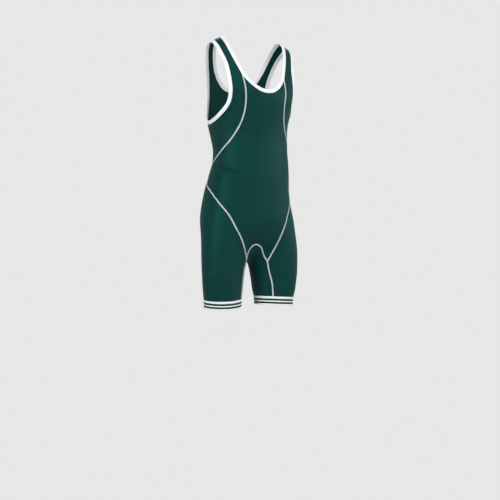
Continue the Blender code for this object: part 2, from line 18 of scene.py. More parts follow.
import bpy
import numpy as np
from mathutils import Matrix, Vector

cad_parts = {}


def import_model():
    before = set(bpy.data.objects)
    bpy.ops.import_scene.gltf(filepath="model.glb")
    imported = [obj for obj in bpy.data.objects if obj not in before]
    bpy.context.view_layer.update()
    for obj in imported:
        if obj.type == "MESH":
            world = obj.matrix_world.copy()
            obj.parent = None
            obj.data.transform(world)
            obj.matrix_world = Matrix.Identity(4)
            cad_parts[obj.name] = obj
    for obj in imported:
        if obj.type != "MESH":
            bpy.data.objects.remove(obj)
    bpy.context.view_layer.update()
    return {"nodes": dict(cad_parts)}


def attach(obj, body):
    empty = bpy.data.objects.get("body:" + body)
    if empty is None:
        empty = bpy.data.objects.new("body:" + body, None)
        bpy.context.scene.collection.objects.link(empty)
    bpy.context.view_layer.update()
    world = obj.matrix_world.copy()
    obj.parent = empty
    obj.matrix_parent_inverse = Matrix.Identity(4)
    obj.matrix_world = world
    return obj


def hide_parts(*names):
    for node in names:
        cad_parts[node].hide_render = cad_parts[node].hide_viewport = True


LOG = logging.getLogger("singlet")

Array = np.ndarray
Colour = tuple[float, float, float, float]
Row = tuple[float, ...]

MM = 0.001
# Lengths and levels that count as none
SMALL = 1e-9
TINY = 1e-12
WEAVE_MAP = "weave"
# The colour sockets of a Mix node: its share and its two colours, then its result
COLOUR_MIX_INPUTS = (0, 6, 7)
COLOUR_MIX_OUTPUT = 2
BLACK: Colour = (0.0, 0.0, 0.0, 1.0)
WHITE: Colour = (1.0, 1.0, 1.0, 1.0)

# How many times points step towards the figure: from far off, from some way off, from close by, and from
# almost on it
FAR, MIDWAY, NEAR, ALMOST = 12, 8, 4, 3

# Counts of coarse faces along each seam, and how many fine faces each of them is cut into
FRONT_COLUMNS = 8
STRAP_FRONT_ROWS = 9
UPPER_SEAM_ROWS = 16
LOWER_SEAM_ROWS = 21
INSEAM_ROWS = 7
WAIST_COLUMNS = 18
BACK_UPPER_ROWS = 13
BACK_LOWER_ROWS = LOWER_SEAM_ROWS - FRONT_COLUMNS
STRAP_BACK_ROWS = 11
RING_ROWS = 6
GUSSET_COLUMNS = 6
FINENESS = 5
CORNERS = 4
# How many samples a line is drawn with for each coarse face along it, before it is spaced
SAMPLES_A_FACE = 12

# The figure's trunk: half width, then how far the front and the back stand from the axis, then where the
# widest line lies between them, then how square the front and the back halves of the section are
TRUNK_COLUMNS = ("z", "half_width", "front", "back", "middle", "front_power", "back_power")
TRUNK_ROWS: tuple[Row, ...] = (
    (0.030, 0.232, 0.064, 0.080, 0.000, 2.2, 2.3),
    (-0.080, 0.228, 0.084, 0.094, 0.002, 2.2, 2.3),
    (-0.140, 0.200, 0.102, 0.104, 0.006, 2.3, 2.4),
    (-0.190, 0.172, 0.120, 0.112, 0.012, 2.3, 2.5),
    (-0.250, 0.154, 0.114, 0.118, 0.018, 2.3, 2.7),
    (-0.310, 0.1435, 0.103, 0.118, 0.022, 2.2, 2.8),
    (-0.355, 0.1385, 0.098, 0.110, 0.014, 2.2, 2.6),
    (-0.400, 0.1363, 0.098, 0.101, 0.004, 2.2, 2.4),
    (-0.455, 0.1423, 0.100, 0.103, 0.000, 2.2, 2.3),
    (-0.483, 0.1470, 0.101, 0.110, 0.005, 2.2, 2.3),
    (-0.541, 0.1550, 0.098, 0.130, 0.018, 2.2, 2.3),
    (-0.598, 0.1630, 0.095, 0.146, 0.024, 2.2, 2.3),
    (-0.655, 0.172, 0.094, 0.150, 0.022, 2.2, 2.3),
    (-0.850, 0.172, 0.094, 0.150, 0.020, 2.2, 2.3),
)
# The figure's legs: where the middle of the thigh is, then its long and short half widths
LEG_COLUMNS = ("z", "x", "y", "long", "short")
LEG_ROWS: tuple[Row, ...] = (
    (-0.540, 0.070, 0.025, 0.045, 0.045),
    (-0.600, 0.076, 0.024, 0.064, 0.060),
    (-0.650, 0.084, 0.021, 0.080, 0.072),
    (-0.700, 0.090, 0.018, 0.089, 0.077),
    (-0.755, 0.0968, 0.016, 0.0915, 0.0748),
    (-0.805, 0.1022, 0.015, 0.0875, 0.0700),
    (-0.841, 0.1044, 0.014, 0.0843, 0.0670),
    (-0.870, 0.1050, 0.014, 0.0805, 0.0658),
    (-0.899, 0.1050, 0.014, 0.0765, 0.0645),
    (-0.927, 0.1050, 0.014, 0.0702, 0.0632),
    (-0.956, 0.1050, 0.014, 0.0682, 0.0625),
    (-0.990, 0.1050, 0.014, 0.0672, 0.0615),
)

# Seam lines of the left half, as points near the figure: x, y, z
NECK_FRONT = (
    (0.128, 0.006, 0.004), (0.118, -0.030, -0.040), (0.107, -0.052, -0.077),
    (0.096, -0.070, -0.108), (0.0845, -0.0932, -0.1375),
)
NECK_BOTTOM = (
    (0.0845, -0.0932, -0.1375), (0.077, -0.0985, -0.148), (0.062, -0.109, -0.1655),
    (0.043, -0.117, -0.1805), (0.022, -0.1215, -0.1905), (0.000, -0.122, -0.1935),
)
NECK_BACK = (
    (0.128, 0.006, 0.004), (0.122, 0.036, -0.030), (0.113, 0.062, -0.070),
    (0.100, 0.084, -0.112), (0.078, 0.100, -0.152), (0.045, 0.109, -0.182),
    (0.000, 0.112, -0.192),
)
ARMHOLE_FRONT = (
    (0.157, 0.006, -0.006), (0.143, -0.022, -0.044), (0.134, -0.041, -0.077),
    (0.128, -0.061, -0.106), (0.126, -0.074, -0.134), (0.124, -0.084, -0.165),
    (0.123, -0.088, -0.190), (0.123, -0.084, -0.215), (0.124, -0.070, -0.242),
    (0.129, -0.050, -0.263), (0.135, -0.033, -0.277), (0.143, -0.009, -0.293),
    (0.146, 0.018, -0.304),
)
ARMHOLE_BACK = (
    (0.146, 0.018, -0.304), (0.144, 0.048, -0.309), (0.138, 0.076, -0.303),
    (0.129, 0.095, -0.280), (0.122, 0.103, -0.245), (0.119, 0.104, -0.200),
    (0.121, 0.096, -0.150), (0.130, 0.076, -0.100), (0.143, 0.044, -0.050),
    (0.157, 0.006, -0.006),
)
UPPER_SEAM = (
    (0.0845, -0.0932, -0.1375), (0.0815, -0.100, -0.167), (0.079, -0.106, -0.202),
    (0.0795, -0.100, -0.255), (0.0865, -0.088, -0.295), (0.102, -0.071, -0.335),
    (0.1225, -0.046, -0.374), (0.132, -0.028, -0.393), (0.139, -0.004, -0.418),
)
LOWER_SEAM = (
    (0.139, -0.004, -0.418), (0.136, 0.037, -0.453), (0.139, 0.052, -0.483),
    (0.1475, 0.047, -0.511), (0.155, 0.014, -0.533), (0.1515, -0.020, -0.559),
    (0.1425, -0.043, -0.583), (0.130, -0.058, -0.602), (0.1161, -0.0704, -0.626),
    (0.0993, -0.077, -0.665), (0.0834, -0.075, -0.7005), (0.0637, -0.0605, -0.748),
    (0.0475, -0.038, -0.794),
)
# The gusset's front edge on the left half, and on the right one as if it were a left one: its top stands
# a little to the wearer's right of the middle
LEFT_ARCH = (
    (-0.0144, -0.0652, -0.729), (0.0044, -0.0603, -0.736), (0.0199, -0.0491, -0.751),
    (0.0361, -0.0369, -0.7765), (0.0475, -0.038, -0.794),
)
RIGHT_ARCH = (
    (0.0144, -0.0652, -0.729), (0.0270, -0.0625, -0.7345), (0.0340, -0.0545, -0.7485),
    (0.0368, -0.0445, -0.7655), (0.0347, -0.0275, -0.7885),
)
FRONT_INSEAM = (
    (0.0475, -0.038, -0.794), (0.0568, -0.0373, -0.834), (0.0665, -0.0409, -0.876),
    (0.0711, -0.040, -0.925),
)
CENTRE_BACK_UPPER = (
    (0.000, 0.112, -0.192), (0.000, 0.118, -0.280), (0.000, 0.104, -0.380),
    (0.000, 0.100, -0.418),
)
CENTRE_BACK_LOWER = (
    (0.000, 0.100, -0.418), (0.000, 0.108, -0.480), (0.000, 0.146, -0.598),
    (0.000, 0.140, -0.680), (0.000, 0.096, -0.745),
)
BACK_INSEAM = (
    (0.000, 0.096, -0.745), (0.022, 0.090, -0.752), (0.044, 0.082, -0.785),
    (0.058, 0.076, -0.830), (0.067, 0.073, -0.880), (0.071, 0.071, -0.925),
)
WAIST_LINE = (
    (0.139, -0.004, -0.418), (0.130, 0.046, -0.420), (0.090, 0.082, -0.420),
    (0.045, 0.097, -0.419), (0.000, 0.100, -0.418),
)
HEM_LEVEL = -0.925
HEM_DEPTH = 30.0 * MM
# Points closer to the middle plane than this lie on it
MIDDLE_REACH = 0.01 * MM
# How far the trunk leans to the wearer's left at each height
SWAY_COLUMNS = ("z", "x")
SWAY_ROWS: tuple[Row, ...] = (
    (0.030, 0.0000),
    (-0.230, 0.0000),
    (-0.320, 0.0020),
    (-0.390, 0.0028),
    (-0.480, -0.0012),
    (-0.550, -0.0035),
    (-0.620, -0.0020),
    (-0.700, 0.0000),
    (-0.960, 0.0000),
)
# The right leg is turned a little, which takes its front seam inwards: depth below the origin, distance
INWARD_ROWS = (
    (0.48, 0.0), (0.56, -0.0035), (0.60, -0.006), (0.65, -0.005), (0.70, 0.002),
    (0.748, 0.008), (0.79, 0.020), (0.83, 0.0225), (0.925, 0.030),
)
# How far round the armhole each corner of the panel's outer edge is joined to, how finely half of it is
# drawn, and how many rounds even its points out
ARMHOLE_SHARES = (0.0, 0.23, 0.42, 0.57, 0.69, 1.0)
ARMHOLE_SAMPLES = 200
ARMHOLE_ROUNDS = 12

# The main creases, on the side of the figure where they lie: both ends, how far the middle hangs below the
# straight line between them, the trough's depth, and its half width at both ends
CREASE_COLUMNS = ("x1", "y1", "z1", "x2", "y2", "z2", "hang", "depth", "width1", "width2")
CREASE_ROWS: tuple[Row, ...] = (
    (-0.1430, 0.022, -0.441, -0.086, -0.086, -0.483, 0.001, 0.0058, 0.0125, 0.0048),
    (-0.094, -0.078, -0.3225, -0.040, -0.0965, -0.345, -0.001, 0.0019, 0.0055, 0.0055),
    (-0.108, -0.089, -0.240, -0.1375, -0.028, -0.293, 0.004, 0.0024, 0.0070, 0.0090),
    (-0.117, -0.056, -0.329, -0.082, -0.089, -0.297, 0.000, 0.0013, 0.0055, 0.0055),
    (-0.140, 0.060, -0.452, -0.060, 0.100, -0.470, 0.004, 0.0030, 0.0110, 0.0070),
    (0.140, 0.056, -0.446, 0.070, 0.100, -0.462, 0.004, 0.0030, 0.0110, 0.0065),
    (0.146, 0.020, -0.436, 0.128, -0.052, -0.450, 0.002, 0.0022, 0.0080, 0.0055),
    (-0.048, 0.100, -0.436, 0.040, 0.100, -0.440, 0.003, 0.0021, 0.0080, 0.0070),
    (-0.120, 0.085, -0.400, -0.050, 0.104, -0.410, 0.003, 0.0016, 0.0070, 0.0060),
    (-0.016, 0.150, -0.690, -0.088, 0.130, -0.738, -0.004, 0.0028, 0.0070, 0.0100),
    (0.016, 0.150, -0.688, 0.094, 0.126, -0.734, -0.004, 0.0030, 0.0070, 0.0100),
    (-0.050, 0.110, -0.752, -0.110, 0.100, -0.770, -0.002, 0.0017, 0.0075, 0.0060),
    (0.046, 0.110, -0.756, 0.104, 0.104, -0.778, -0.002, 0.0016, 0.0070, 0.0060),
    (0.020, 0.030, -0.770, 0.044, 0.010, -0.830, 0.000, 0.0016, 0.0065, 0.0060),
    (-0.020, 0.034, -0.770, -0.046, 0.014, -0.836, 0.000, 0.0015, 0.0065, 0.0060),
)


def hermite(values: Array, slopes: Array, row: Array, share: Array, span: Array | float = 1.0) -> Array:
    """Reads smoothly between the rows of an array.

    Args:
        values: The rows.
        slopes: Each row's slope.
        row: The row before each place that is read.
        share: How far each place is from that row to the next, from 0 to 1.
        span: How far apart the two rows are.

    Returns:
        The values at those places.
    """
    left = 1 - share
    return (
        (1 + 2 * share) * left**2 * values[row]
        + share * left**2 * span * slopes[row]
        + share**2 * (3 - 2 * share) * values[row + 1]
        - share**2 * left * span * slopes[row + 1]
    )


def smoothstep(value: Array, low: float, high: float) -> Array:
    """A smooth step from 0 at low to 1 at high."""
    share = np.clip((value - low) / (high - low), 0, 1)
    return share**2 * (3 - 2 * share)


def unit(vectors: Array) -> Array:
    """The vectors at length 1."""
    return vectors / np.maximum(np.linalg.norm(vectors, axis=-1, keepdims=True), TINY)


def mirrored(points: Array) -> Array:
    """The points on the other side of the middle."""
    return points * np.array([-1.0, 1.0, 1.0])


def lengths_along(line: Array) -> Array:
    """How far along a line each of its points is."""
    return np.concatenate([[0], np.cumsum(np.linalg.norm(np.diff(line, axis=0), axis=1))])


def looped(rows: Array) -> Array:
    """The rows with the first one again at the end."""
    return np.concatenate([rows, rows[:1]])


def arched(height: float, share: Array) -> Array:
    """An arc over a share from 0 to 1: 0 at both ends and this high in the middle."""
    return height * 4 * share * (1 - share)


def chained(*lines: Array) -> Array:
    """One line out of several that follow one another."""
    return np.concatenate([lines[0]] + [line[1:] for line in lines[1:]])


def refined(values: Array, factor: int) -> Array:
    """Cuts the steps between the rows of an array into finer ones.

    Args:
        values: The rows, of any shape.
        factor: How many fine steps each step becomes.

    Returns:
        The finer rows, which run smoothly through the given ones.
    """
    slopes = np.gradient(values, axis=0, edge_order=2)
    place = np.arange((len(values) - 1) * factor + 1) / factor
    row = np.minimum(place.astype(int), len(values) - 2)
    share = (place - row).reshape((-1,) + (1,) * (values.ndim - 1))
    return hermite(values, slopes, row, share)


def refined_both_ways(grid: Array) -> Array:
    """A coarse grid cut into fine faces along its rows and its columns."""
    return np.swapaxes(refined(np.swapaxes(refined(grid, FINENESS), 0, 1), FINENESS), 0, 1)


@dataclass(frozen=True)
class Sections:
    """A table of sections by height, read between its rows without kinks."""

    names: tuple[str, ...]
    rows: tuple[Row, ...]

    @cached_property
    def table(self) -> Array:
        """The rows from the lowest height up."""
        return np.array(sorted(self.rows))

    @cached_property
    def slopes(self) -> Array:
        """Each column's slope at each row."""
        return np.gradient(self.table, self.table[:, 0], axis=0)

    def at(self, z: Array) -> dict[str, Array]:
        """Reads every column at some heights.

        Args:
            z: The heights.

        Returns:
            Each column's values, by its name.
        """
        heights = self.table[:, 0]
        z = np.clip(z, heights[0], heights[-1])
        row = np.clip(np.searchsorted(heights, z) - 1, 0, len(heights) - 2)
        span = heights[row + 1] - heights[row]
        share = ((z - heights[row]) / span)[..., None]
        found = hermite(self.table, self.slopes, row, share, span[..., None])
        return dict(zip(self.names, np.moveaxis(found, -1, 0)))


@dataclass(frozen=True)
class Figure:
    """The smooth general figure under the cloth, as a field that is zero on its surface."""

    trunk: Sections = Sections(TRUNK_COLUMNS, TRUNK_ROWS)
    legs: Sections = Sections(LEG_COLUMNS, LEG_ROWS)
    shoulder_start: float = -0.200
    shoulder_rise: float = 0.217
    crotch_start: float = -0.600
    crotch_fall: float = 0.170
    dome_power: float = 2.3
    trunk_scale: float = 0.12
    leg_turn: float = math.radians(30.0)
    leg_power: float = 2.1
    leg_top: float = -0.52
    blend: float = 0.013
    shoulder_tilt: float = 0.078
    tilt_from: float = -0.46
    tilt_to: float = -0.16
    sway: Sections = Sections(SWAY_COLUMNS, SWAY_ROWS)
    hem_tilt: tuple[Row, Row] = ((-0.082, -0.068, -0.0025), (0.022, 0.038, 0.0))
    hem_middle: tuple[float, float] = (0.1050, 0.014)
    hem_from: float = -0.91
    hem_to: float = -0.80
    slope_step: float = 0.01 * MM
    longest_step: float = 20.0 * MM
    samples_a_point: int = 40

    def trunk_field(self, x: Array, y: Array, z: Array) -> Array:
        """About how far points are outside the trunk.

        Args:
            x: How far left they are.
            y: How far back.
            z: How far up.

        Returns:
            The distances, less than 0 inside.
        """
        s = self.trunk.at(z)
        ahead = y < s["middle"]
        depth = np.where(ahead, s["front"] + s["middle"], s["back"] - s["middle"])
        power = np.where(ahead, s["front_power"], s["back_power"])
        level = np.abs(x / s["half_width"]) ** power + np.abs((y - s["middle"]) / depth) ** power
        level = np.maximum(level, SMALL) ** (self.dome_power / power)
        level = level + (np.maximum(z - self.shoulder_start, 0) / self.shoulder_rise) ** self.dome_power
        level = level + (np.maximum(self.crotch_start - z, 0) / self.crotch_fall) ** self.dome_power
        return self.trunk_scale * (level ** (1 / self.dome_power) - 1)

    def leg_fields(self, x: Array, y: Array, z: Array) -> Array:
        """About how far points are outside each leg.

        Args:
            x: How far left they are.
            y: How far back.
            z: How far up.

        Returns:
            The distances from the left leg, then from the right one.
        """
        s = self.legs.at(z)
        dx = np.stack([x, -x]) - s["x"]
        dy = y - s["y"]
        along = (dx * math.cos(self.leg_turn) - dy * math.sin(self.leg_turn)) / s["long"]
        across = (dx * math.sin(self.leg_turn) + dy * math.cos(self.leg_turn)) / s["short"]
        level = np.abs(along) ** self.leg_power + np.abs(across) ** self.leg_power
        level = np.maximum(level, SMALL) ** (1 / self.leg_power)
        return s["short"] * (level - 1) + np.maximum(z - self.leg_top, 0)

    def field(self, points: Array) -> Array:
        """About how far points are outside the figure, whose trunk and legs run together.

        Args:
            points: The points.

        Returns:
            The distances, less than 0 inside.
        """
        x, y, z = np.moveaxis(points, -1, 0)
        parts = np.concatenate([self.trunk_field(x, y, z)[None], self.leg_fields(x, y, z)])
        nearest = parts.min(0)
        return nearest - self.blend * np.log(np.exp(-(parts - nearest) / self.blend).sum(0))

    def slope(self, points: Array) -> Array:
        """The field's slope along each axis.

        Args:
            points: Where it is read.

        Returns:
            The slopes.
        """
        shifts = (np.eye(3) * self.slope_step).reshape((3,) + (1,) * (points.ndim - 1) + (3,))
        ahead, behind = self.field(np.stack([points + shifts, points - shifts]))
        return np.moveaxis(ahead - behind, 0, -1) / (2 * self.slope_step)

    def outward(self, points: Array) -> Array:
        """The way out of the figure at each point."""
        return unit(self.slope(points))

    def onto(self, points: Array, rounds: int = MIDWAY) -> Array:
        """Moves each point straight to the figure's surface.

        Args:
            points: Points near the surface.
            rounds: How many times they step towards it.

        Returns:
            The points on the surface.
        """
        points = np.array(points, float)
        for _ in range(rounds):
            slope = self.slope(points)
            move = self.field(points)[..., None] * slope / (slope**2).sum(-1, keepdims=True)
            length = np.linalg.norm(move, axis=-1, keepdims=True)
            points -= move * np.minimum(1, self.longest_step / np.maximum(length, TINY))
        return points

    def posed(self, points: Array) -> Array:
        """The points as the wearer stands.

        Args:
            points: Points of the upright figure.

        Returns:
            The points with the trunk swayed, the left shoulder down and the leg ends tilted.
        """
        points = points.copy()
        x, y, z = np.moveaxis(points, -1, 0).copy()
        points[..., 0] += self.sway.at(z)["x"]
        points[..., 2] -= self.shoulder_tilt * smoothstep(z, self.tilt_from, self.tilt_to) * x
        left = x > 0
        lean_x, lean_y, rise = (np.where(left, *sides) for sides in zip(*self.hem_tilt))
        off = np.where(left, 1.0, -1.0) * self.hem_middle[0]
        share = 1 - smoothstep(z, self.hem_from, self.hem_to)
        points[..., 2] += share * (lean_x * (x - off) + lean_y * (y - self.hem_middle[1]) + rise)
        return points

    def evenly(self, line: Array, shares: Array) -> Array:
        """Points along a line on the figure.

        Args:
            line: The line.
            shares: The shares of the line's length at which they are.

        Returns:
            The points.
        """
        along = lengths_along(line)
        at = np.asarray(shares) * along[-1]
        found = np.stack([np.interp(at, along, line[:, axis]) for axis in range(3)], 1)
        return self.onto(found, ALMOST)

    def spaced(self, points: Sequence[Row] | Array, count: int) -> Array:
        """A smooth line on the figure, cut into equal steps.

        Args:
            points: Points that it runs through.
            count: How many steps it is cut into.

        Returns:
            count + 1 points.
        """
        points = np.array(points, float)
        along = lengths_along(points)
        slopes = np.gradient(points, along, axis=0)
        place = np.linspace(0, along[-1], self.samples_a_point * len(points))
        row = np.clip(np.searchsorted(along, place) - 1, 0, len(points) - 2)
        span = (along[row + 1] - along[row])[:, None]
        share = (place - along[row])[:, None] / span
        line = self.onto(hermite(points, slopes, row, share, span))
        return self.evenly(line, np.linspace(0, 1, count + 1))


@dataclass(frozen=True)
class Crease:
    """A soft trough between a roll above it and a lower one below it, deepest in the middle of its length."""

    path: Array
    upward: Array
    depth: float
    width: Array
    roll: float = 0.75
    roll_place: float = 1.35
    roll_spread: float = 1.5
    low_roll: float = 0.45
    low_roll_place: float = 2.0
    trough_spread: float = 1.5
    fade_power: float = 1.2
    reach: float = 5.0

    def relief(self, points: Array) -> Array:
        """How far this crease makes the cloth stand out.

        Args:
            points: Points on the figure.

        Returns:
            The distances, less than 0 in the trough.
        """
        lift = np.zeros(points.shape[:-1])
        middle = self.path.mean(0)
        reach = np.linalg.norm(self.path - middle, axis=1).max() + self.reach * self.width.max()
        near = np.linalg.norm(points - middle, axis=-1) < reach
        if not near.any():
            return lift
        spots = points[near]
        nearest = ((spots[:, None] - self.path) ** 2).sum(-1).argmin(1)
        ahead = np.gradient(self.path, axis=0)
        step = np.linalg.norm(ahead, axis=1)
        gap = spots - self.path[nearest]
        along = (gap * ahead[nearest]).sum(-1) / step[nearest] ** 2
        away = (gap - along[:, None] * ahead[nearest]) / self.width[nearest, None]
        off = np.linalg.norm(away, axis=-1)
        side = np.sign((away * self.upward[nearest]).sum(-1)) * off
        past = side - self.roll_place
        roll = self.roll * np.exp(-((past / np.where(past > 0, self.roll_spread, 1)) ** 2))
        roll = roll + self.low_roll * np.exp(-((side + self.low_roll_place) ** 2))
        trough = np.exp(-((side / np.where(side < 0, self.trough_spread, 1)) ** 2))
        share = np.clip((nearest + along) / (len(self.path) - 1), 0, 1)
        fade = np.sin(math.pi * share) ** self.fade_power
        lift[near] = self.depth * fade * (roll - trough)
        return lift


@dataclass
class Cloth:
    """The surface that all cloth and sewing lies on: the figure, its creases and its pose."""

    figure: Figure
    creases: list[Crease] = field(default_factory=list)
    crease_points: ClassVar[int] = 48

    @classmethod
    def over(cls, figure: Figure) -> Cloth:
        """The cloth over a figure, with the creases of the table laid on it.

        Args:
            figure: The figure.

        Returns:
            The cloth.
        """
        cloth = cls(figure)
        for row in CREASE_ROWS:
            value = dict(zip(CREASE_COLUMNS, row))
            ends = np.array([[value[axis + end] for axis in "xyz"] for end in "12"])
            share = np.linspace(0, 1, cls.crease_points)[:, None]
            path = ends[0] * (1 - share) + ends[1] * share
            path[:, 2] -= arched(value["hang"], share[:, 0])
            path = figure.onto(path, FAR)
            upward = unit(np.cross(np.gradient(path, axis=0), figure.outward(path)))
            upward = upward * np.sign(upward[:, 2].sum())
            width = np.linspace(value["width1"], value["width2"], cls.crease_points)
            cloth.creases.append(Crease(path, upward, value["depth"], width))
        return cloth

    def relief(self, points: Array) -> Array:
        """How far the creases lift the cloth at each point of the figure."""
        return sum((crease.relief(points) for crease in self.creases), np.zeros(points.shape[:-1]))

    def at(self, points: Array, height: Array | float) -> Array:
        """The posed places at some height over points of the figure.

        Args:
            points: Points on the figure.
            height: How far outside the figure each place is, besides its creases.

        Returns:
            The places.
        """
        lift = np.asarray(height + self.relief(points))
        return self.figure.posed(points + self.figure.outward(points) * lift[..., None])


@dataclass(frozen=True)
class Patch:
    """A grid of points on the figure, coarse and fine, whose corners are the same."""

    coarse: Array
    fine: Array

    def mirrored(self) -> Patch:
        """The patch of the other side."""
        return Patch(mirrored(self.coarse), mirrored(self.fine))

    def with_other_half(self, other: Patch, axis: int) -> Patch:
        """One patch out of two halves that start from the middle line.

        Args:
            other: The other side's half, worked out as this side's.
            axis: Along which of the grid's axes the halves meet.

        Returns:
            The whole patch, from the other side's border to this side's.
        """
        halves = ((other.coarse, self.coarse), (other.fine, self.fine))
        flipped = ((np.delete(np.flip(mirrored(far), axis), -1, axis), near) for far, near in halves)
        return Patch(*(np.concatenate(grids, axis) for grids in flipped))


@dataclass(frozen=True)
class Layout:
    """How the coarse points of a patch are laid: its rows run about upright axes, or straight with a bulge.

    They are then evened out for some rounds, and its columns may be kept level with the sides.
    """

    axis: tuple[Array, Array] | None = None
    relax: int = 40
    bulge: Array | None = None
    level: bool = False


@dataclass(frozen=True)
class Filler:
    """Fills patches of cloth between seam lines."""

    figure: Figure
    rounds_a_levelling: int = 6
    fine_rounds: int = 6
    border_fade: int = 3

    def fine_line(self, line: Array) -> Array:
        """Cuts a seam line finer, and keeps it on the middle plane where it lies there.

        Args:
            line: The coarse line.

        Returns:
            The fine line.
        """
        fine = self.figure.onto(refined(line, FINENESS), NEAR)
        if np.abs(line[:, 0]).max() < SMALL:
            fine[:, 0] = 0.0
        fine[0], fine[-1] = line[0], line[-1]
        return fine

    def fine_chain(self, lines: Iterable[Array]) -> Array:
        """Several seam lines that follow one another, cut finer."""
        return chained(*(self.fine_line(line) for line in lines))

    @staticmethod
    def about(points: Array, axis_x: float, axis_y: float) -> Array:
        """Points as seen from an upright axis.

        Args:
            points: The points.
            axis_x: The axis's place to the side.
            axis_y: And to the back.

        Returns:
            Their angles, which are 0 in front and grow leftwards, their distances and their heights.
        """
        dx = points[..., 0] - axis_x
        dy = points[..., 1] - axis_y
        return np.stack([np.arctan2(dx, -dy), np.hypot(dx, dy), points[..., 2]], -1)

    @staticmethod
    def back_from(polar: Array, axis_x: float, axis_y: float) -> Array:
        """The points at these angles, distances and heights about an upright axis."""
        angle, distance, z = np.moveaxis(polar, -1, 0)
        return np.stack([axis_x + distance * np.sin(angle), axis_y - distance * np.cos(angle), z], -1)

    @classmethod
    def round_axis(cls, ends: Array, shares: Array, axis_x: float, axis_y: float) -> Array:
        """Points between two others, round an upright axis.

        Args:
            ends: The two points, of which the second is reached leftwards as seen from above the front.
            shares: How far from the first to the second each new point is.
            axis_x: The axis's place to the side.
            axis_y: The axis's place to the back.

        Returns:
            The points.
        """
        start, end = cls.about(ends, axis_x, axis_y)
        if end[0] < start[0]:
            end[0] += 2 * math.pi
        return cls.back_from(start + (end - start) * shares[:, None], axis_x, axis_y)

    def relaxed(self, grid: Array, rounds: int, level: bool = False) -> Array:
        """A grid with its inner points evened out on the figure.

        Args:
            grid: The grid, whose border stays.
            rounds: How many times its points step to their neighbours' middle.
            level: Whether each column is spaced as the sides are.

        Returns:
            The grid.
        """
        start, end = (lengths_along(grid[:, side]) for side in (0, -1))
        start, end = start / start[-1], end / end[-1]
        across = np.linspace(0, 1, grid.shape[1])
        by_row = 1 / ((grid[2:, 1:-1] - grid[:-2, 1:-1]) ** 2).sum(-1, keepdims=True)
        by_column = 1 / ((grid[1:-1, 2:] - grid[1:-1, :-2]) ** 2).sum(-1, keepdims=True)
        by_row = by_row / (2 * (by_row + by_column))
        for turn in range(rounds):
            inner = (grid[:-2, 1:-1] + grid[2:, 1:-1]) * by_row
            inner += (grid[1:-1, :-2] + grid[1:-1, 2:]) * (0.5 - by_row)
            grid[1:-1, 1:-1] = self.figure.onto(inner, ALMOST)
            if level and turn % self.rounds_a_levelling == 0:
                for column in range(1, grid.shape[1] - 1):
                    share = start + (end - start) * across[column]
                    grid[:, column] = self.figure.evenly(grid[:, column], share)
        return grid

    def coarse(self, start: Array, end: Array, first: Array, last: Array, layout: Layout) -> Array:
        """The coarse grid of a patch.

        Args:
            start: Its first column.
            end: Its last column.
            first: Its first row.
            last: Its last row.
            layout: How its points are laid.

        Returns:
            The grid.
        """
        rows, columns = len(start), len(first)
        u = np.linspace(0, 1, columns)
        v = np.linspace(0, 1, rows)
        grid = np.empty((rows, columns, 3))
        if layout.axis is None:
            grid[:] = start[:, None] * (1 - u)[None, :, None] + end[:, None] * u[None, :, None]
            if layout.bulge is not None:
                grid += layout.bulge[:, None] * arched(1.0, u)[None, :, None]
        else:
            for row, (axis_x, axis_y) in enumerate(zip(*layout.axis)):
                grid[row] = self.round_axis(np.stack([start[row], end[row]]), u, axis_x, axis_y)
        for row, line, share in ((0, first, 1 - v), (-1, last, v)):
            grid += (share**self.border_fade)[:, None, None] * (line - grid[row])[None]
        grid[0], grid[-1], grid[:, 0], grid[:, -1] = first, last, start, end
        grid[1:-1, 1:-1] = self.figure.onto(grid[1:-1, 1:-1], FAR)
        return self.relaxed(grid, layout.relax, layout.level)

    def patch(
        self,
        start: Sequence[Array],
        end: Sequence[Array],
        first: Sequence[Array],
        last: Sequence[Array],
        layout: Layout,
    ) -> Patch:
        """A patch of cloth on the figure between four chains of seam lines.

        Args:
            start: The lines of its first column.
            end: The lines of its last column.
            first: The lines of its first row.
            last: The lines of its last row.
            layout: How its coarse points are laid.

        Returns:
            The patch.
        """
        borders = [chained(*lines) for lines in (start, end, first, last)]
        coarse = self.coarse(*borders, layout)
        start, end, first, last = (self.fine_chain(lines) for lines in (start, end, first, last))
        fine = refined_both_ways(coarse)
        u = np.linspace(0, 1, fine.shape[1])[None, :, None]
        v = np.linspace(0, 1, fine.shape[0])[:, None, None]
        fine = fine + (1 - u) * (start - fine[:, 0])[:, None] + u * (end - fine[:, -1])[:, None]
        fine = fine + (1 - v) * (first - fine[0])[None] + v * (last - fine[-1])[None]
        fine[1:-1, 1:-1] = self.figure.onto(fine[1:-1, 1:-1], NEAR)
        fine[0], fine[-1], fine[:, 0], fine[:, -1] = first, last, start, end
        return Patch(coarse, self.relaxed(fine, self.fine_rounds))


class Side(Enum):
    """The two halves of the garment: a name, and how much of the right leg's turn the half has."""

    LEFT = ("left", 0.0)
    RIGHT = ("right", 1.0)

    @property
    def label(self) -> str:
        """The side's name in the names of its pieces."""
        return self.value[0]

    @property
    def turn(self) -> float:
        """The share of INWARD_ROWS that its seams have."""
        return self.value[1]

    def placed(self, points: Array) -> Array:
        """Points worked out for the left half, on this side."""
        return points if self is Side.LEFT else mirrored(points)


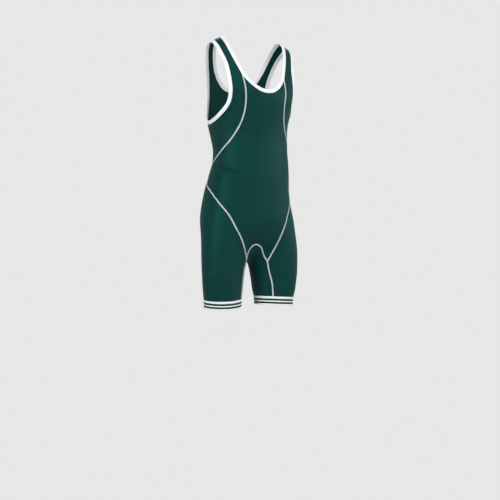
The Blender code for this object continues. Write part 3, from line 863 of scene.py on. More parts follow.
class Seams:
    """The coarse seam lines of one half, as the left half's, each cut into its count of faces."""

    def __init__(self, figure: Figure, side: Side) -> None:
        """Works out every line and joins their ends.

        Args:
            figure: The figure that they lie on.
            side: The half that they are for.
        """
        self.figure = figure
        self.side = side
        spaced = figure.spaced
        self.neck_front = spaced(NECK_FRONT, STRAP_FRONT_ROWS)
        self.neck_bottom = spaced(NECK_BOTTOM, FRONT_COLUMNS)
        self.neck_back = spaced(NECK_BACK, STRAP_BACK_ROWS)
        self.upper = spaced(UPPER_SEAM, UPPER_SEAM_ROWS)
        self.lower = spaced(self.inwards(LOWER_SEAM), LOWER_SEAM_ROWS)
        self.arch = spaced(LEFT_ARCH if side is Side.LEFT else RIGHT_ARCH, FRONT_COLUMNS)
        self.inseam = spaced(self.inwards(FRONT_INSEAM), INSEAM_ROWS)
        self.back_upper = spaced(CENTRE_BACK_UPPER, BACK_UPPER_ROWS)
        self.back_lower = spaced(CENTRE_BACK_LOWER, BACK_LOWER_ROWS)
        self.back_inseam = spaced(BACK_INSEAM, FRONT_COLUMNS + INSEAM_ROWS)
        self.waist = spaced(WAIST_LINE, WAIST_COLUMNS)
        self.join()
        self.armhole = self.armhole_line()
        self.shoulder = self.shoulder_line()
        self.hem_outer = self.hem_arc(self.inseam[-1], self.back_inseam[-1], WAIST_COLUMNS)
        self.hem_inner = self.hem_arc(self.back_inseam[-1], self.inseam[-1], GUSSET_COLUMNS)

    def inwards(self, points: Sequence[Row]) -> Array:
        """A seam of a leg, moved towards the other leg as this side's is.

        Args:
            points: Points of the seam.

        Returns:
            The moved points.
        """
        moved = np.array(points)
        moved[:, 0] -= self.side.turn * np.interp(-moved[:, 2], *zip(*INWARD_ROWS))
        return moved

    def join(self) -> None:
        """Makes lines that meet share the same corner, and puts the middle ones on the middle plane."""
        for line in (self.inseam, self.back_inseam):
            line[-1, 2] = HEM_LEVEL
        for line in (self.neck_bottom, self.neck_back, self.back_upper, self.back_lower):
            line[np.abs(line[:, 0]) < MIDDLE_REACH, 0] = 0.0
        self.neck_back[0] = self.neck_front[0]
        self.neck_bottom[0] = self.upper[0] = self.neck_front[-1]
        self.lower[0] = self.waist[0] = self.upper[-1]
        self.waist[-1] = self.back_upper[-1]
        self.back_upper[0] = self.neck_back[-1]
        self.back_lower[0] = self.back_upper[-1]
        self.arch[-1] = self.inseam[0] = self.lower[-1]
        self.back_inseam[0] = self.back_lower[-1]

    def armhole_line(self) -> Array:
        """The armhole from the shoulder down the front, under the arm and up the back."""
        fine = chained(*(self.figure.spaced(half, ARMHOLE_SAMPLES) for half in (ARMHOLE_FRONT, ARMHOLE_BACK)))
        counts = (STRAP_FRONT_ROWS, UPPER_SEAM_ROWS, WAIST_COLUMNS, BACK_UPPER_ROWS, STRAP_BACK_ROWS)
        shares = [np.array([0.0])]
        for count, low, high in zip(counts, ARMHOLE_SHARES, ARMHOLE_SHARES[1:]):
            shares.append(np.linspace(low, high, count + 1)[1:])
        place = np.concatenate(shares)
        for _ in range(ARMHOLE_ROUNDS):
            place[1:-1] = (place[:-2] + 2 * place[1:-1] + place[2:]) / 4
        return self.figure.evenly(fine, place)

    def shoulder_line(self) -> Array:
        """The shoulder seam across the strap, from the armhole to the neck."""
        shares = np.linspace(0, 1, RING_ROWS + 1)
        start, end = self.armhole[0], self.neck_front[0]
        line = self.figure.evenly(self.figure.onto(start + (end - start) * shares[:, None]), shares)
        line[0], line[-1] = start, end
        return line

    def hem_arc(self, start: Array, end: Array, count: int) -> Array:
        """A level line round the thigh, leftwards as seen from above the front.

        Args:
            start: Its start.
            end: Its end.
            count: How many steps it is cut into.

        Returns:
            The line.
        """
        middle = self.figure.legs.at(np.array(HEM_LEVEL))
        shares = np.linspace(0, 1, SAMPLES_A_FACE * count + 1)
        line = Filler.round_axis(np.stack([start, end]), shares, middle["x"], middle["y"])
        line = self.figure.evenly(self.figure.onto(line), np.linspace(0, 1, count + 1))
        line[0], line[-1] = start, end
        line[:, 2] = HEM_LEVEL
        return line


@dataclass
class Solid:
    """Points and four-cornered faces with their places in the weave, ready to become a mesh."""

    points: Array
    quads: Array
    weave: Array
    finish: Array | None = None

    @classmethod
    def joined(cls, solids: Sequence[Solid]) -> Solid:
        """Several solids as one, all of one finish.

        Args:
            solids: The solids.

        Returns:
            The one solid.
        """
        firsts = np.cumsum([0] + [len(solid.points) for solid in solids[:-1]])
        return cls(
            np.concatenate([solid.points for solid in solids]),
            np.concatenate([solid.quads + first for solid, first in zip(solids, firsts)]),
            np.concatenate([solid.weave for solid in solids]),
        )

    def piece(
        self, name: str, finishes: Sequence[bpy.types.Material], sharp: float | None = None
    ) -> bpy.types.Object:
        """Makes the piece.

        Args:
            name: The piece's name.
            finishes: The materials that the faces' finish numbers mean.
            sharp: The angle between faces past which an edge stays sharp, if any does.

        Returns:
            The new object.
        """
        mesh = bpy.data.meshes.new(name)
        mesh.from_pydata(self.points.tolist(), [], self.quads.tolist())
        for material in finishes:
            mesh.materials.append(material)
        if self.finish is not None:
            mesh.polygons.foreach_set("material_index", self.finish.astype(np.int32))
        layer = mesh.uv_layers.new(name=WEAVE_MAP)
        layer.data.foreach_set("uv", self.weave.astype(np.float32).ravel())
        mesh.shade_smooth()
        if sharp is not None:
            mesh.set_sharp_from_angle(angle=sharp)
        piece = bpy.data.objects.new(name, mesh)
        bpy.context.scene.collection.objects.link(piece)
        LOG.info("%s: %d faces", name, len(self.quads))
        return piece


def grid_quads(numbers: Array, round_rows: bool = False, round_columns: bool = False) -> Array:
    """The faces between the points of a grid.

    Args:
        numbers: The points' numbers.
        round_rows: Whether the last row meets the first one.
        round_columns: Whether the last column meets the first one.

    Returns:
        One row for each face.
    """
    if round_rows:
        numbers = looped(numbers)
    if round_columns:
        numbers = looped(numbers.T).T
    corners = (numbers[:-1, :-1], numbers[1:, :-1], numbers[1:, 1:], numbers[:-1, 1:])
    return np.stack(corners, -1).reshape(-1, CORNERS)


def diagonals(points: Array, quads: Array) -> tuple[Array, Array]:
    """The two diagonals of each face, whose cross product is twice its area long."""
    corners = points[quads]
    return corners[:, 2] - corners[:, 0], corners[:, 3] - corners[:, 1]


def grid_weave(first: Array, second: Array) -> Array:
    """The weave coordinates of those faces' corners, which don't wrap where the grid closes.

    Args:
        first: How far along the cloth each row is, with one more value where the rows close.
        second: How far across it each column is, likewise.

    Returns:
        One row for each corner of each face.
    """
    u, v = np.meshgrid(first, second, indexing="ij")
    both = np.stack([u, v], -1)
    corners = (both[:-1, :-1], both[1:, :-1], both[1:, 1:], both[:-1, 1:])
    return np.stack(corners, 2).reshape(-1, 2)


@dataclass
class Cut:
    """One cut piece of cloth: fine points on the figure, its faces, and its flat pattern in metres."""

    points: Array
    quads: Array
    pattern: Array
    quarter_turn: ClassVar[int] = 90

    @staticmethod
    def assembled(grids: Sequence[Array], low: int) -> tuple[Array, Array, list[Array]]:
        """Joins one or two grids into points and faces.

        Args:
            grids: The grids. The second one's first row is the first one's first column from low on.
            low: That row of the first grid.

        Returns:
            The points, the faces and the points' numbers in each grid.
        """
        numbers = []
        total = 0
        for grid in grids:
            count = grid.shape[0] * grid.shape[1]
            numbers.append(total + np.arange(count).reshape(grid.shape[:2]))
            total += count
        if len(grids) > 1:
            numbers[1][0] = numbers[0][low : low + grids[1].shape[1], 0]
        points = np.concatenate([grid.reshape(-1, grid.shape[-1]) for grid in grids])
        return points, np.concatenate([grid_quads(each) for each in numbers]), numbers

    @classmethod
    def of(cls, patches: Sequence[Patch], low: int = 0) -> Cut:
        """One cut piece out of its patches, with the pattern that a cutter would lay flat.

        Args:
            patches: Its one or two patches.
            low: The coarse row of the first where the second starts.

        Returns:
            The cut piece.
        """
        points, quads, numbers = cls.assembled([patch.coarse for patch in patches], low)
        used, corner = np.unique(quads, return_inverse=True)
        laid = np.zeros((len(points), 2))
        laid[used] = laid_flat(points[used], corner.reshape(quads.shape))
        fine = []
        for patch, numbered in zip(patches, numbers):
            fine.append(np.concatenate([patch.fine, refined_both_ways(laid[numbered])], -1))
        points, quads, _ = cls.assembled(fine, low * FINENESS)
        used, corner = np.unique(quads, return_inverse=True)
        return cls(points[used, :3], corner.reshape(quads.shape), points[used, 3:])

    @property
    def size(self) -> tuple[float, float]:
        """The sides, as worn, of the smallest rectangle that the pattern can be cut from."""
        turns = np.radians(np.arange(self.quarter_turn))
        ways = np.stack([np.cos(turns), np.sin(turns)])
        across = np.ptp(self.pattern @ ways, axis=0)
        along = np.ptp(self.pattern @ np.stack([-ways[1], ways[0]]), axis=0)
        best = (across * along).argmin()
        return tuple(sorted((float(across[best]), float(along[best]))))

    def edges(self) -> Array:
        """The open edges, each as the numbers of its two points."""
        edges = np.stack([self.quads, np.roll(self.quads, -1, 1)], -1).reshape(-1, 2)
        there = set(map(tuple, edges.tolist()))
        return np.array([edge for edge in map(tuple, edges.tolist()) if edge[::-1] not in there])

    @property
    def edge_length(self) -> float:
        """The length of the pattern's outline."""
        ends = self.pattern[self.edges()]
        return float(np.linalg.norm(ends[:, 1] - ends[:, 0], axis=1).sum())

    @property
    def area(self) -> float:
        """The cloth's area as worn."""
        normals = np.cross(*diagonals(self.points, self.quads))
        return float(np.linalg.norm(normals, axis=1).sum() / 2)

    def shell(self, cloth: Cloth, inner: float, outer: float) -> Solid:
        """The cloth between two heights, its face and its back finished apart.

        Args:
            cloth: The surface that it lies on.
            inner: The height of its back.
            outer: The height of its face.

        Returns:
            A closed solid.
        """
        quads = self.quads
        facing = np.cross(*diagonals(self.points, quads))
        if (facing * cloth.figure.outward(self.points[quads].mean(1))).sum() < 0:
            quads = quads[:, ::-1]
        count = len(self.points)
        points = np.concatenate([cloth.at(self.points, outer), cloth.at(self.points, inner)])
        edges = replace(self, quads=quads).edges()
        rim = np.stack([edges[:, 1], edges[:, 0], edges[:, 0] + count, edges[:, 1] + count], 1)
        every = np.concatenate([quads, quads[:, ::-1] + count, rim])
        back = self.pattern * np.array([-1.0, 1.0])
        weave = np.concatenate([self.pattern, back])[every].reshape(-1, 2)
        finish = np.concatenate([np.zeros(len(quads)), np.ones(len(quads)), np.zeros(len(rim))])
        return Solid(points, every, weave, finish.astype(int))


def laid_flat(points: Array, quads: Array) -> Array:
    """Lays a piece of cloth flat with as little stretch as its form allows.

    Args:
        points: Its points.
        quads: Its faces.

    Returns:
        Each point's place in the flat, in metres, with the way up the wearer along the second axis.
    """
    mesh = bpy.data.meshes.new("pattern")
    mesh.from_pydata(points.tolist(), [], quads.tolist())
    mesh.uv_layers.new(name="flat")
    paper = bpy.data.objects.new("pattern", mesh)
    bpy.context.scene.collection.objects.link(paper)
    bpy.context.view_layer.objects.active = paper
    bpy.ops.object.mode_set(mode="EDIT")
    bpy.ops.mesh.select_all(action="SELECT")
    bpy.ops.uv.unwrap(method="MINIMUM_STRETCH", margin=0.0)
    bpy.ops.object.mode_set(mode="OBJECT")
    corner = np.zeros(len(mesh.loops) * 2, np.float32)
    mesh.uv_layers["flat"].data.foreach_get("uv", corner)
    vertex = np.zeros(len(mesh.loops), np.int32)
    mesh.loops.foreach_get("vertex_index", vertex)
    bpy.data.objects.remove(paper)
    bpy.data.meshes.remove(mesh)
    flat = np.zeros((len(points), 2))
    flat[vertex] = corner.reshape(-1, 2)
    flat = flat - flat.mean(0)
    up = unit(np.linalg.lstsq(flat, points[:, 2] - points[:, 2].mean(), rcond=None)[0])
    flat = flat @ np.array([[up[1], up[0]], [-up[0], up[1]]])
    worn = np.linalg.norm(np.cross(*diagonals(points, quads)), axis=1).sum()
    first, second = diagonals(flat, quads)
    drawn = np.abs((first[:, 0] * second[:, 1] - first[:, 1] * second[:, 0]).sum())
    return flat * math.sqrt(worn / drawn)


@dataclass
class Track:
    """A line on the cloth, along which strips and sewing are laid by distance along, across and out."""

    cloth: Cloth
    line: Array
    closed: bool = False
    towards: Row | None = None
    stride: float = 6.0 * MM
    rounds: int = 2
    thread_sides: int = 4

    def __post_init__(self) -> None:
        """Works out the line's length and the way across it at each point."""
        points = looped(self.line) if self.closed else self.line
        self.marks = lengths_along(points)
        self.length = float(self.marks[-1])
        if self.closed:
            following = np.roll(self.line, -1, 0) - np.roll(self.line, 1, 0)
        else:
            following = np.gradient(self.line, axis=0)
        across = unit(np.cross(unit(following), self.cloth.figure.outward(self.line)))
        if self.towards is not None and ((np.array(self.towards) - self.line) * across).sum() < 0:
            across = -across
        self.table = np.concatenate([points, looped(across) if self.closed else across], 1)

    def steps(self, pitch: float) -> Array:
        """Distances along the whole line, about a pitch apart, with both ends."""
        return np.linspace(0, self.length, max(2, round(self.length / pitch) + 1))

    def lay(self, along: Array, across: Array, height: Array) -> tuple[Array, Array]:
        """Places on the cloth beside the line.

        Args:
            along: How far along the line each place is.
            across: How far to its side, along the figure.
            height: How far outside the figure.

        Returns:
            The places, and the way out of the cloth at each.
        """
        along, across, height = np.broadcast_arrays(along, across, height)
        at = np.mod(along, self.length) if self.closed else along
        read = np.stack([np.interp(at, self.marks, column) for column in self.table.T], -1)
        points, way = read[..., :3], unit(read[..., 3:])
        if not self.closed:
            past = along - np.clip(along, 0, self.length)
            ends = np.where(past[..., None] > 0, self.line[-1] - self.line[-2], self.line[1] - self.line[0])
            points = points + unit(ends) * past[..., None]
        left = np.array(across)
        while np.abs(left).max() > 0:
            move = np.clip(left, -self.stride, self.stride)
            points = self.cloth.figure.onto(points + way * move[..., None], self.rounds)
            left = left - move
        return self.cloth.at(points, height), self.cloth.figure.outward(points)

    def strip(self, outline: Array, pitch: float, flat: bool = False) -> Solid:
        """A strip with one closed outline all along the line.

        Args:
            outline: The outline's points: across and height.
            pitch: About how far apart its rings are.
            flat: Whether its weave runs down both faces alike, instead of on round the outline.

        Returns:
            A closed solid, or one with open ends under other pieces where the line is open.
        """
        steps = self.steps(pitch)
        rings = steps[:-1] if self.closed else steps
        points, _ = self.lay(rings[:, None], outline[None, :, 0], outline[None, :, 1])
        numbers = np.arange(points.shape[0] * points.shape[1]).reshape(points.shape[:2])
        quads = grid_quads(numbers, self.closed, True)
        around = looped(outline)
        weave = grid_weave(steps, around[:, 0] if flat else lengths_along(around))
        caps = [] if self.closed else [end_cap(numbers[0][::-1]), end_cap(numbers[-1])]
        weave = np.concatenate([weave] + [np.zeros((CORNERS * len(cap), 2)) for cap in caps])
        return Solid(points.reshape(-1, 3), np.concatenate([quads] + caps), weave)

    def threads(self, along: Array, across: Array, height: Array, radius: float) -> Solid:
        """Many short lengths of thread.

        Args:
            along: For each thread, how far along the line each of its points is.
            across: How far to the side each point is.
            height: How far outside the figure each point is.
            radius: The thread's radius.

        Returns:
            Open tubes, whose ends lie in the cloth.
        """
        centres, out = self.lay(along, across, height)
        ahead = unit(np.gradient(centres, axis=1))
        first = unit(out - ahead * (out * ahead).sum(-1, keepdims=True))
        second = np.cross(ahead, first)
        sides = self.thread_sides
        turns = 2 * math.pi * (np.arange(sides) + 0.5) / sides
        rings = np.cos(turns)[:, None] * first[:, :, None] + np.sin(turns)[:, None] * second[:, :, None]
        points = centres[:, :, None] + radius * rings
        count, length = centres.shape[:2]
        one = grid_quads(np.arange(length * sides).reshape(length, sides), False, True)
        quads = (one[None] + (np.arange(count) * length * sides)[:, None, None]).reshape(-1, CORNERS)
        gap = float(np.linalg.norm(np.diff(centres, axis=1), axis=-1).mean())
        weave = grid_weave(gap * np.arange(length), 2 * math.pi * radius / sides * np.arange(sides + 1))
        return Solid(points.reshape(-1, 3), quads, np.tile(weave, (count, 1)))


def end_cap(ring: Array) -> Array:
    """Closes the end of a strip with faces between the two sides of its outline.

    Args:
        ring: The numbers of the outline's points, whose count is even.

    Returns:
        One row for each face.
    """
    half = len(ring) // 2
    there, back = ring[:half], ring[half:][::-1]
    return np.stack([there[:-1], there[1:], back[1:], back[:-1]], 1)


# How far the cut edge of a cloth stands out, as a share of half its thickness
EDGE_ROUNDING = 0.8


def rounded_outline(middle: Array, half: float) -> Array:
    """The outline of a sheet of cloth, given the line of its middle.

    Args:
        middle: The middle line's points.
        half: Half the cloth's thickness.

    Returns:
        A closed outline, first along one side and then back along the other.
    """
    way = unit(np.gradient(middle, axis=0))
    side = np.stack([-way[:, 1], way[:, 0]], 1) * half
    left, right = middle + side, middle - side
    start, end = middle[0] - way[0] * half * EDGE_ROUNDING, middle[-1] + way[-1] * half * EDGE_ROUNDING
    return np.concatenate([[start], left, [end], right[::-1]])


@dataclass(frozen=True)
class Stitches:
    """Stitches along a track: straight needle threads that hump over the face, and threads that cross."""

    pitch: float = 2.6 * MM
    thread: float = 0.22 * MM
    needle_gap: float = 0.08
    needle_share: float = 0.84
    hump: float = 0.26 * MM
    sink: float = 0.12 * MM
    needle_points: ClassVar[int] = 5
    crossing_points: ClassVar[int] = 7

    def starts(self, track: Track) -> tuple[Array, float]:
        """Divides a track into stitches.

        Args:
            track: The track.

        Returns:
            Where each stitch starts, one in each row, and how long a stitch is.
        """
        count = max(1, round(track.length / self.pitch))
        pitch = track.length / count
        return np.arange(count)[:, None] * pitch, pitch

    def needles(self, track: Track, rows: Sequence[float] | Array, face: float) -> list[Solid]:
        """Rows of needle thread.

        Args:
            track: The line that they follow.
            rows: How far across each row is.
            face: The height that they lie on.

        Returns:
            One solid for each row.
        """
        starts, pitch = self.starts(track)
        share = np.linspace(0, 1, self.needle_points)
        along = starts + (self.needle_gap + self.needle_share * share) * pitch
        height = face + self.hump * np.sin(math.pi * share) - self.sink
        return [track.threads(along, row, height, self.thread) for row in rows]

    def crossing(self, reach: float) -> tuple[Array, Array]:
        """One crossing stitch: the shares of a stitch's length, and how far across each of its points is."""
        turn = np.linspace(0, 1, self.crossing_points)
        return turn, reach * np.cos(2 * math.pi * turn)


@dataclass(frozen=True)
class Flatlock(Stitches):
    """A flat seam: cover threads laid side by side over the joint, held by rows of needle thread."""

    width: float = 5.1 * MM
    rise: float = 0.45 * MM
    inner_rise: float = 0.35 * MM
    bed_points: int = 9
    bed_power: int = 3
    bed_depth: float = 0.25 * MM
    bed_pitch: float = 2.0 * MM
    thread: float = 0.23 * MM
    needle_gap: float = 0.06
    needle_share: float = 0.88
    hump: float = 0.28 * MM
    sink: float = 0.10 * MM
    needle_rows: int = 4
    needle_spread: float = 0.40
    cover_strands: int = 2
    cover_share: float = 0.9
    cover_reach: float = 0.46
    cover_lift: float = 0.02 * MM
    cover_dip: float = 0.25 * MM
    cover_power: int = 4

    def bed(self, track: Track, base: float, rise: float) -> Solid:
        """The closed bed of cover thread on one side of the cloth, domed across.

        Args:
            track: The seam line.
            base: The height of that side.
            rise: How far the bed's middle stands out from it, which is less than 0 on the back.

        Returns:
            A closed solid.
        """
        share = np.linspace(-1, 1, self.bed_points)
        dome = base + rise * (1 - np.abs(share) ** self.bed_power)
        under = np.full(self.bed_points, base - self.bed_depth * np.sign(rise))
        there = np.stack([share * self.width / 2, dome], 1)
        back = np.stack([share[::-1] * self.width / 2, under], 1)
        return track.strip(np.concatenate([there, back])[:: int(math.copysign(1, rise))], self.bed_pitch)

    def sew(self, track: Track, inner: float, outer: float) -> Solid:
        """The seam's thread along a track.

        Args:
            track: The seam line.
            inner: The height of the cloth's back.
            outer: The height of the cloth's face.

        Returns:
            The bed on both sides, the needle rows and the crossing strands, as one solid.
        """
        top = outer + self.rise
        solids = [self.bed(track, outer, self.rise), self.bed(track, inner, -self.inner_rise)]
        rows = np.linspace(-self.needle_spread, self.needle_spread, self.needle_rows) * self.width
        solids += self.needles(track, rows, top)
        starts, pitch = self.starts(track)
        reach = self.cover_reach * self.width
        turn, sweep = self.crossing(reach)
        low = top + self.cover_lift - self.cover_dip * (np.abs(sweep) / reach) ** self.cover_power
        for strand in range(self.cover_strands):
            along = np.minimum(starts + (turn + strand / self.cover_strands) * pitch, track.length)
            solids.append(track.threads(along, sweep, low, self.thread * self.cover_share))
        return Solid.joined(solids)


@dataclass(frozen=True)
class CoverStitch(Stitches):
    """Two parallel rows of needle thread on the face, and their zigzag of looper thread on the back."""

    gap: float = 3.2 * MM
    looper_lift: float = 0.10 * MM

    def sew(self, track: Track, across: float, face: float, back: float) -> Solid:
        """The stitches along a track.

        Args:
            track: The line that they follow.
            across: How far beside it the middle of the two rows is.
            face: The height of the face that they lie on.
            back: The height of the back.

        Returns:
            All the thread as one solid.
        """
        solids = self.needles(track, (across - self.gap / 2, across + self.gap / 2), face)
        starts, pitch = self.starts(track)
        turn, sweep = self.crossing(self.gap / 2)
        under = np.full(self.crossing_points, back - self.looper_lift)
        solids.append(track.threads(starts + turn * pitch, across + sweep, under, self.thread))
        return Solid.joined(solids)


@dataclass(frozen=True)
class Binding:
    """Elastic folded over the raw edge of an opening."""

    width: float = 12.0 * MM
    half_cloth: float = 0.33 * MM
    lap: float = 1.2 * MM
    face: float = 2.05 * MM
    back: float = -0.15 * MM
    crown: float = 0.22 * MM
    flat_points: int = 8
    fold_points: int = 7
    pitch: float = 2.5 * MM
    fold_allowance: float = 2.0 * MM
    stitch_place: float = 3.0 * MM
    stitch_lift: float = 0.1 * MM

    @property
    def cut_width(self) -> float:
        """The width of the elastic before it is folded."""
        return self.width * 2 + self.fold_allowance

    @property
    def stitched(self) -> tuple[float, float, float]:
        """Where its stitches lie: how far across, and the heights of its face and back."""
        return self.stitch_place, self.face + self.half_cloth + self.stitch_lift, self.back - self.half_cloth

    def outline(self) -> Array:
        """The folded elastic's outline: across from the seam line, and height."""
        radius = (self.face - self.back) / 2
        centre = self.width - radius - self.half_cloth
        flat = np.linspace(-self.lap, centre, self.flat_points)
        raised = self.crown * np.sin(math.pi * np.clip(flat / self.width, 0, 1))
        there = np.stack([flat, self.face + raised], 1)
        angle = np.linspace(math.pi / 2, -math.pi / 2, self.fold_points)[1:-1]
        height = (self.face + self.back) / 2 + radius * np.sin(angle)
        fold = np.stack([centre + radius * np.cos(angle), height], 1)
        under = np.stack([flat[::-1], np.full(self.flat_points, self.back)], 1)
        return rounded_outline(np.concatenate([there, fold, under]), self.half_cloth)

    def made(self, track: Track) -> Solid:
        """The binding along the edge of an opening."""
        return track.strip(self.outline(), self.pitch)


@dataclass(frozen=True)
class HemBand:
    """The knitted elastic at a leg: stripes, of which the white ones stand a little proud."""

    stripes: tuple[float, ...] = (6.6 * MM, 7.3 * MM, 4.0 * MM, 6.9 * MM, 4.7 * MM)
    cut_width: float = HEM_DEPTH
    lap: float = 1.5 * MM
    back: float = 0.1 * MM
    groove: float = 1.75 * MM
    ridge: float = 2.15 * MM
    bevel: float = 0.7 * MM
    top: Row = (0.5 * MM, 0.1 * MM)
    foot: tuple[Row, ...] = ((0.8 * MM, 0.0), (0.2 * MM, 0.35 * MM), (0.0, 0.9 * MM))
    lap_heights: Row = (0.6 * MM, 1.55 * MM)
    pitch: float = 1.5 * MM
    stitch_place: float = 2.4 * MM
    stitch_lift: float = 0.08 * MM

    @property
    def stitched(self) -> tuple[float, float, float]:
        """Where its stitches lie: how far down, and the heights of its face and back."""
        return self.stitch_place, self.ridge + self.stitch_lift, self.back

    def edges(self) -> list[float]:
        """How far down each change of stripe is."""
        return [float(edge) for edge in np.cumsum(self.stripes)[:-1]]

    def dark_stripes(self) -> tuple[tuple[float, float], ...]:
        """How far down each dark stripe starts and ends."""
        edges = self.edges()
        return tuple(zip(edges[::2], edges[1::2]))

    def outline(self) -> Array:
        """The band's outline: how far down from the seam line, and height."""
        deep = float(sum(self.stripes))
        there = [(-self.lap, self.ridge), (self.top[0], self.ridge + self.top[1])]
        for number, edge in enumerate(self.edges()):
            above, below = (self.ridge, self.groove) if number % 2 == 0 else (self.groove, self.ridge)
            there += [(edge - self.bevel, above), (edge, (above + below) / 2), (edge + self.bevel, below)]
        there += [(deep - up, self.ridge - drop) for up, drop in self.foot]
        under = np.linspace(deep, -self.lap, len(there))
        back = np.stack([under, np.full(len(under), self.back)], 1)
        back[-2:, 1] = self.lap_heights
        return np.concatenate([np.array(there), back])

    def made(self, track: Track) -> Solid:
        """The band round a leg."""
        return track.strip(self.outline(), self.pitch, flat=True)


class Wire:
    """One shader socket, on which sums are written as on a number."""

    def __init__(self, graph: Graph, socket: bpy.types.NodeSocket | None) -> None:
        """Keeps the socket, if its node has one, and the graph that it is in."""
        self.graph = graph
        self.socket = socket

    def maths(self, operation: str, *values: Wire | float) -> Wire:
        """The result of one Math node on these values."""
        return self.graph.node("ShaderNodeMath", {"operation": operation}, dict(enumerate(values)))

    def operator(operation: str, reflected: bool = False) -> Callable[[Wire, Wire | float], Wire]:
        """Makes the method for an operator with two sides, which adds one Math node.

        Args:
            operation: The node's operation.
            reflected: Whether its two values are swapped.

        Returns:
            The method.
        """

        def method(self: Wire, other: Wire | float) -> Wire:
            """The node's result."""
            return self.maths(operation, other, self) if reflected else self.maths(operation, self, other)

        return method

    __add__, __radd__ = operator("ADD"), operator("ADD", True)
    __sub__, __rsub__ = operator("SUBTRACT"), operator("SUBTRACT", True)
    __mul__, __rmul__ = operator("MULTIPLY"), operator("MULTIPLY", True)
    __truediv__, __rtruediv__ = operator("DIVIDE"), operator("DIVIDE", True)
    __gt__, __lt__ = operator("GREATER_THAN"), operator("LESS_THAN")

    def __abs__(self) -> Wire:
        """The value without its sign."""
        return self.maths("ABSOLUTE", self)

    def fraction(self) -> Wire:
        """The value past the whole number below it."""
        return self.maths("FRACT", self)

    @staticmethod
    def blend(wires: Sequence[Wire], shares: Row) -> Wire:
        """The sum of several values, of each its share."""
        parts = [wire * share for wire, share in zip(wires, shares)]
        return sum(parts[1:], parts[0])

    def centred(self) -> Wire:
        """The value from 0 to 1, taken from its middle."""
        return self - 0.5

    def ridge(self) -> Wire:
        """A value that is 1 in the middle of each whole step and 0 at the step's ends."""
        return 1.0 - abs(self.fraction().centred()) * 2.0

    def sine(self) -> Wire:
        """The sine of the value."""
        return self.maths("SINE", self)

    def limited(self, low: float, high: float) -> Wire:
        """The value kept between two others."""
        return self.maths("MINIMUM", self.maths("MAXIMUM", self, low), high)


class Graph:
    """The nodes of one material."""

    def __init__(self, name: str) -> None:
        """Starts a material without nodes.

        Args:
            name: Its name.
        """
        self.material = bpy.data.materials.new(name)
        self.material.use_nodes = True
        self.tree = self.material.node_tree
        self.tree.nodes.clear()

    def node(
        self,
        kind: str,
        settings: dict[str, Any] | None = None,
        sockets: dict[str | int, Any] | None = None,
        output: str | int = 0,
    ) -> Wire:
        """Adds a node.

        Args:
            kind: Its type.
            settings: Its settings, which are set before its sockets.
            sockets: The values or wires of its inputs.
            output: The output that is wanted.

        Returns:
            The wire from that output.
        """
        node = self.tree.nodes.new(kind)
        for name, value in (settings or {}).items():
            setattr(node, name, value)
        for name, value in (sockets or {}).items():
            if isinstance(value, Wire):
                self.tree.links.new(value.socket, node.inputs[name])
            else:
                node.inputs[name].default_value = value
        return Wire(self, node.outputs[output] if node.outputs else None)

    def weave(self) -> tuple[Wire, Wire]:
        """How far along and across the cloth each place is, in metres."""
        place = self.node("ShaderNodeUVMap", {"uv_map": WEAVE_MAP})
        split = {"Vector": place}
        return tuple(self.node("ShaderNodeSeparateXYZ", None, split, axis) for axis in "XY")

    def noise(self, size: float, detail: float = 2.0) -> Wire:
        """Soft noise in space, from 0 to 1.

        Args:
            size: About how large its blots are, in metres.
            detail: How fine its detail is.

        Returns:
            Its wire.
        """
        place = self.node("ShaderNodeTexCoord", None, None, "Object")
        scale = (1.0 / size,) * 3
        place = self.node("ShaderNodeMapping", None, {"Vector": place, "Scale": scale})
        return self.node("ShaderNodeTexNoise", None, {"Vector": place, "Scale": 1.0, "Detail": detail})

    def mix(self, share: Wire | float, first: Wire | Colour, second: Wire | Colour) -> Wire:
        """A colour between two others."""
        values = dict(zip(COLOUR_MIX_INPUTS, (share, first, second)))
        return self.node("ShaderNodeMix", {"data_type": "RGBA"}, values, COLOUR_MIX_OUTPUT)

    def bump(self, height: Wire, depth: float, strength: float = 1.0) -> Wire:
        """The normal of a surface whose relief is this height times a depth in metres."""
        values = {"Height": height, "Distance": depth, "Strength": strength}
        return self.node("ShaderNodeBump", None, values, "Normal")

    def finished(self, colour: Wire, roughness: Wire, normal: Wire, **constants: Any) -> bpy.types.Material:
        """Ends the material in a surface.

        Args:
            colour: Its colour.
            roughness: Its roughness.
            normal: Its normal.
            **constants: Values of other sockets, with spaces written as underscores.

        Returns:
            The material.
        """
        values = {"Base Color": colour, "Roughness": roughness, "Normal": normal}
        values.update({name.replace("_", " "): value for name, value in constants.items()})
        return self.ended(self.node("ShaderNodeBsdfPrincipled", None, values))

    def ended(self, surface: Wire) -> bpy.types.Material:
        """Joins a surface to the material's output and gives the material."""
        self.node("ShaderNodeOutputMaterial", None, {"Surface": surface})
        return self.material


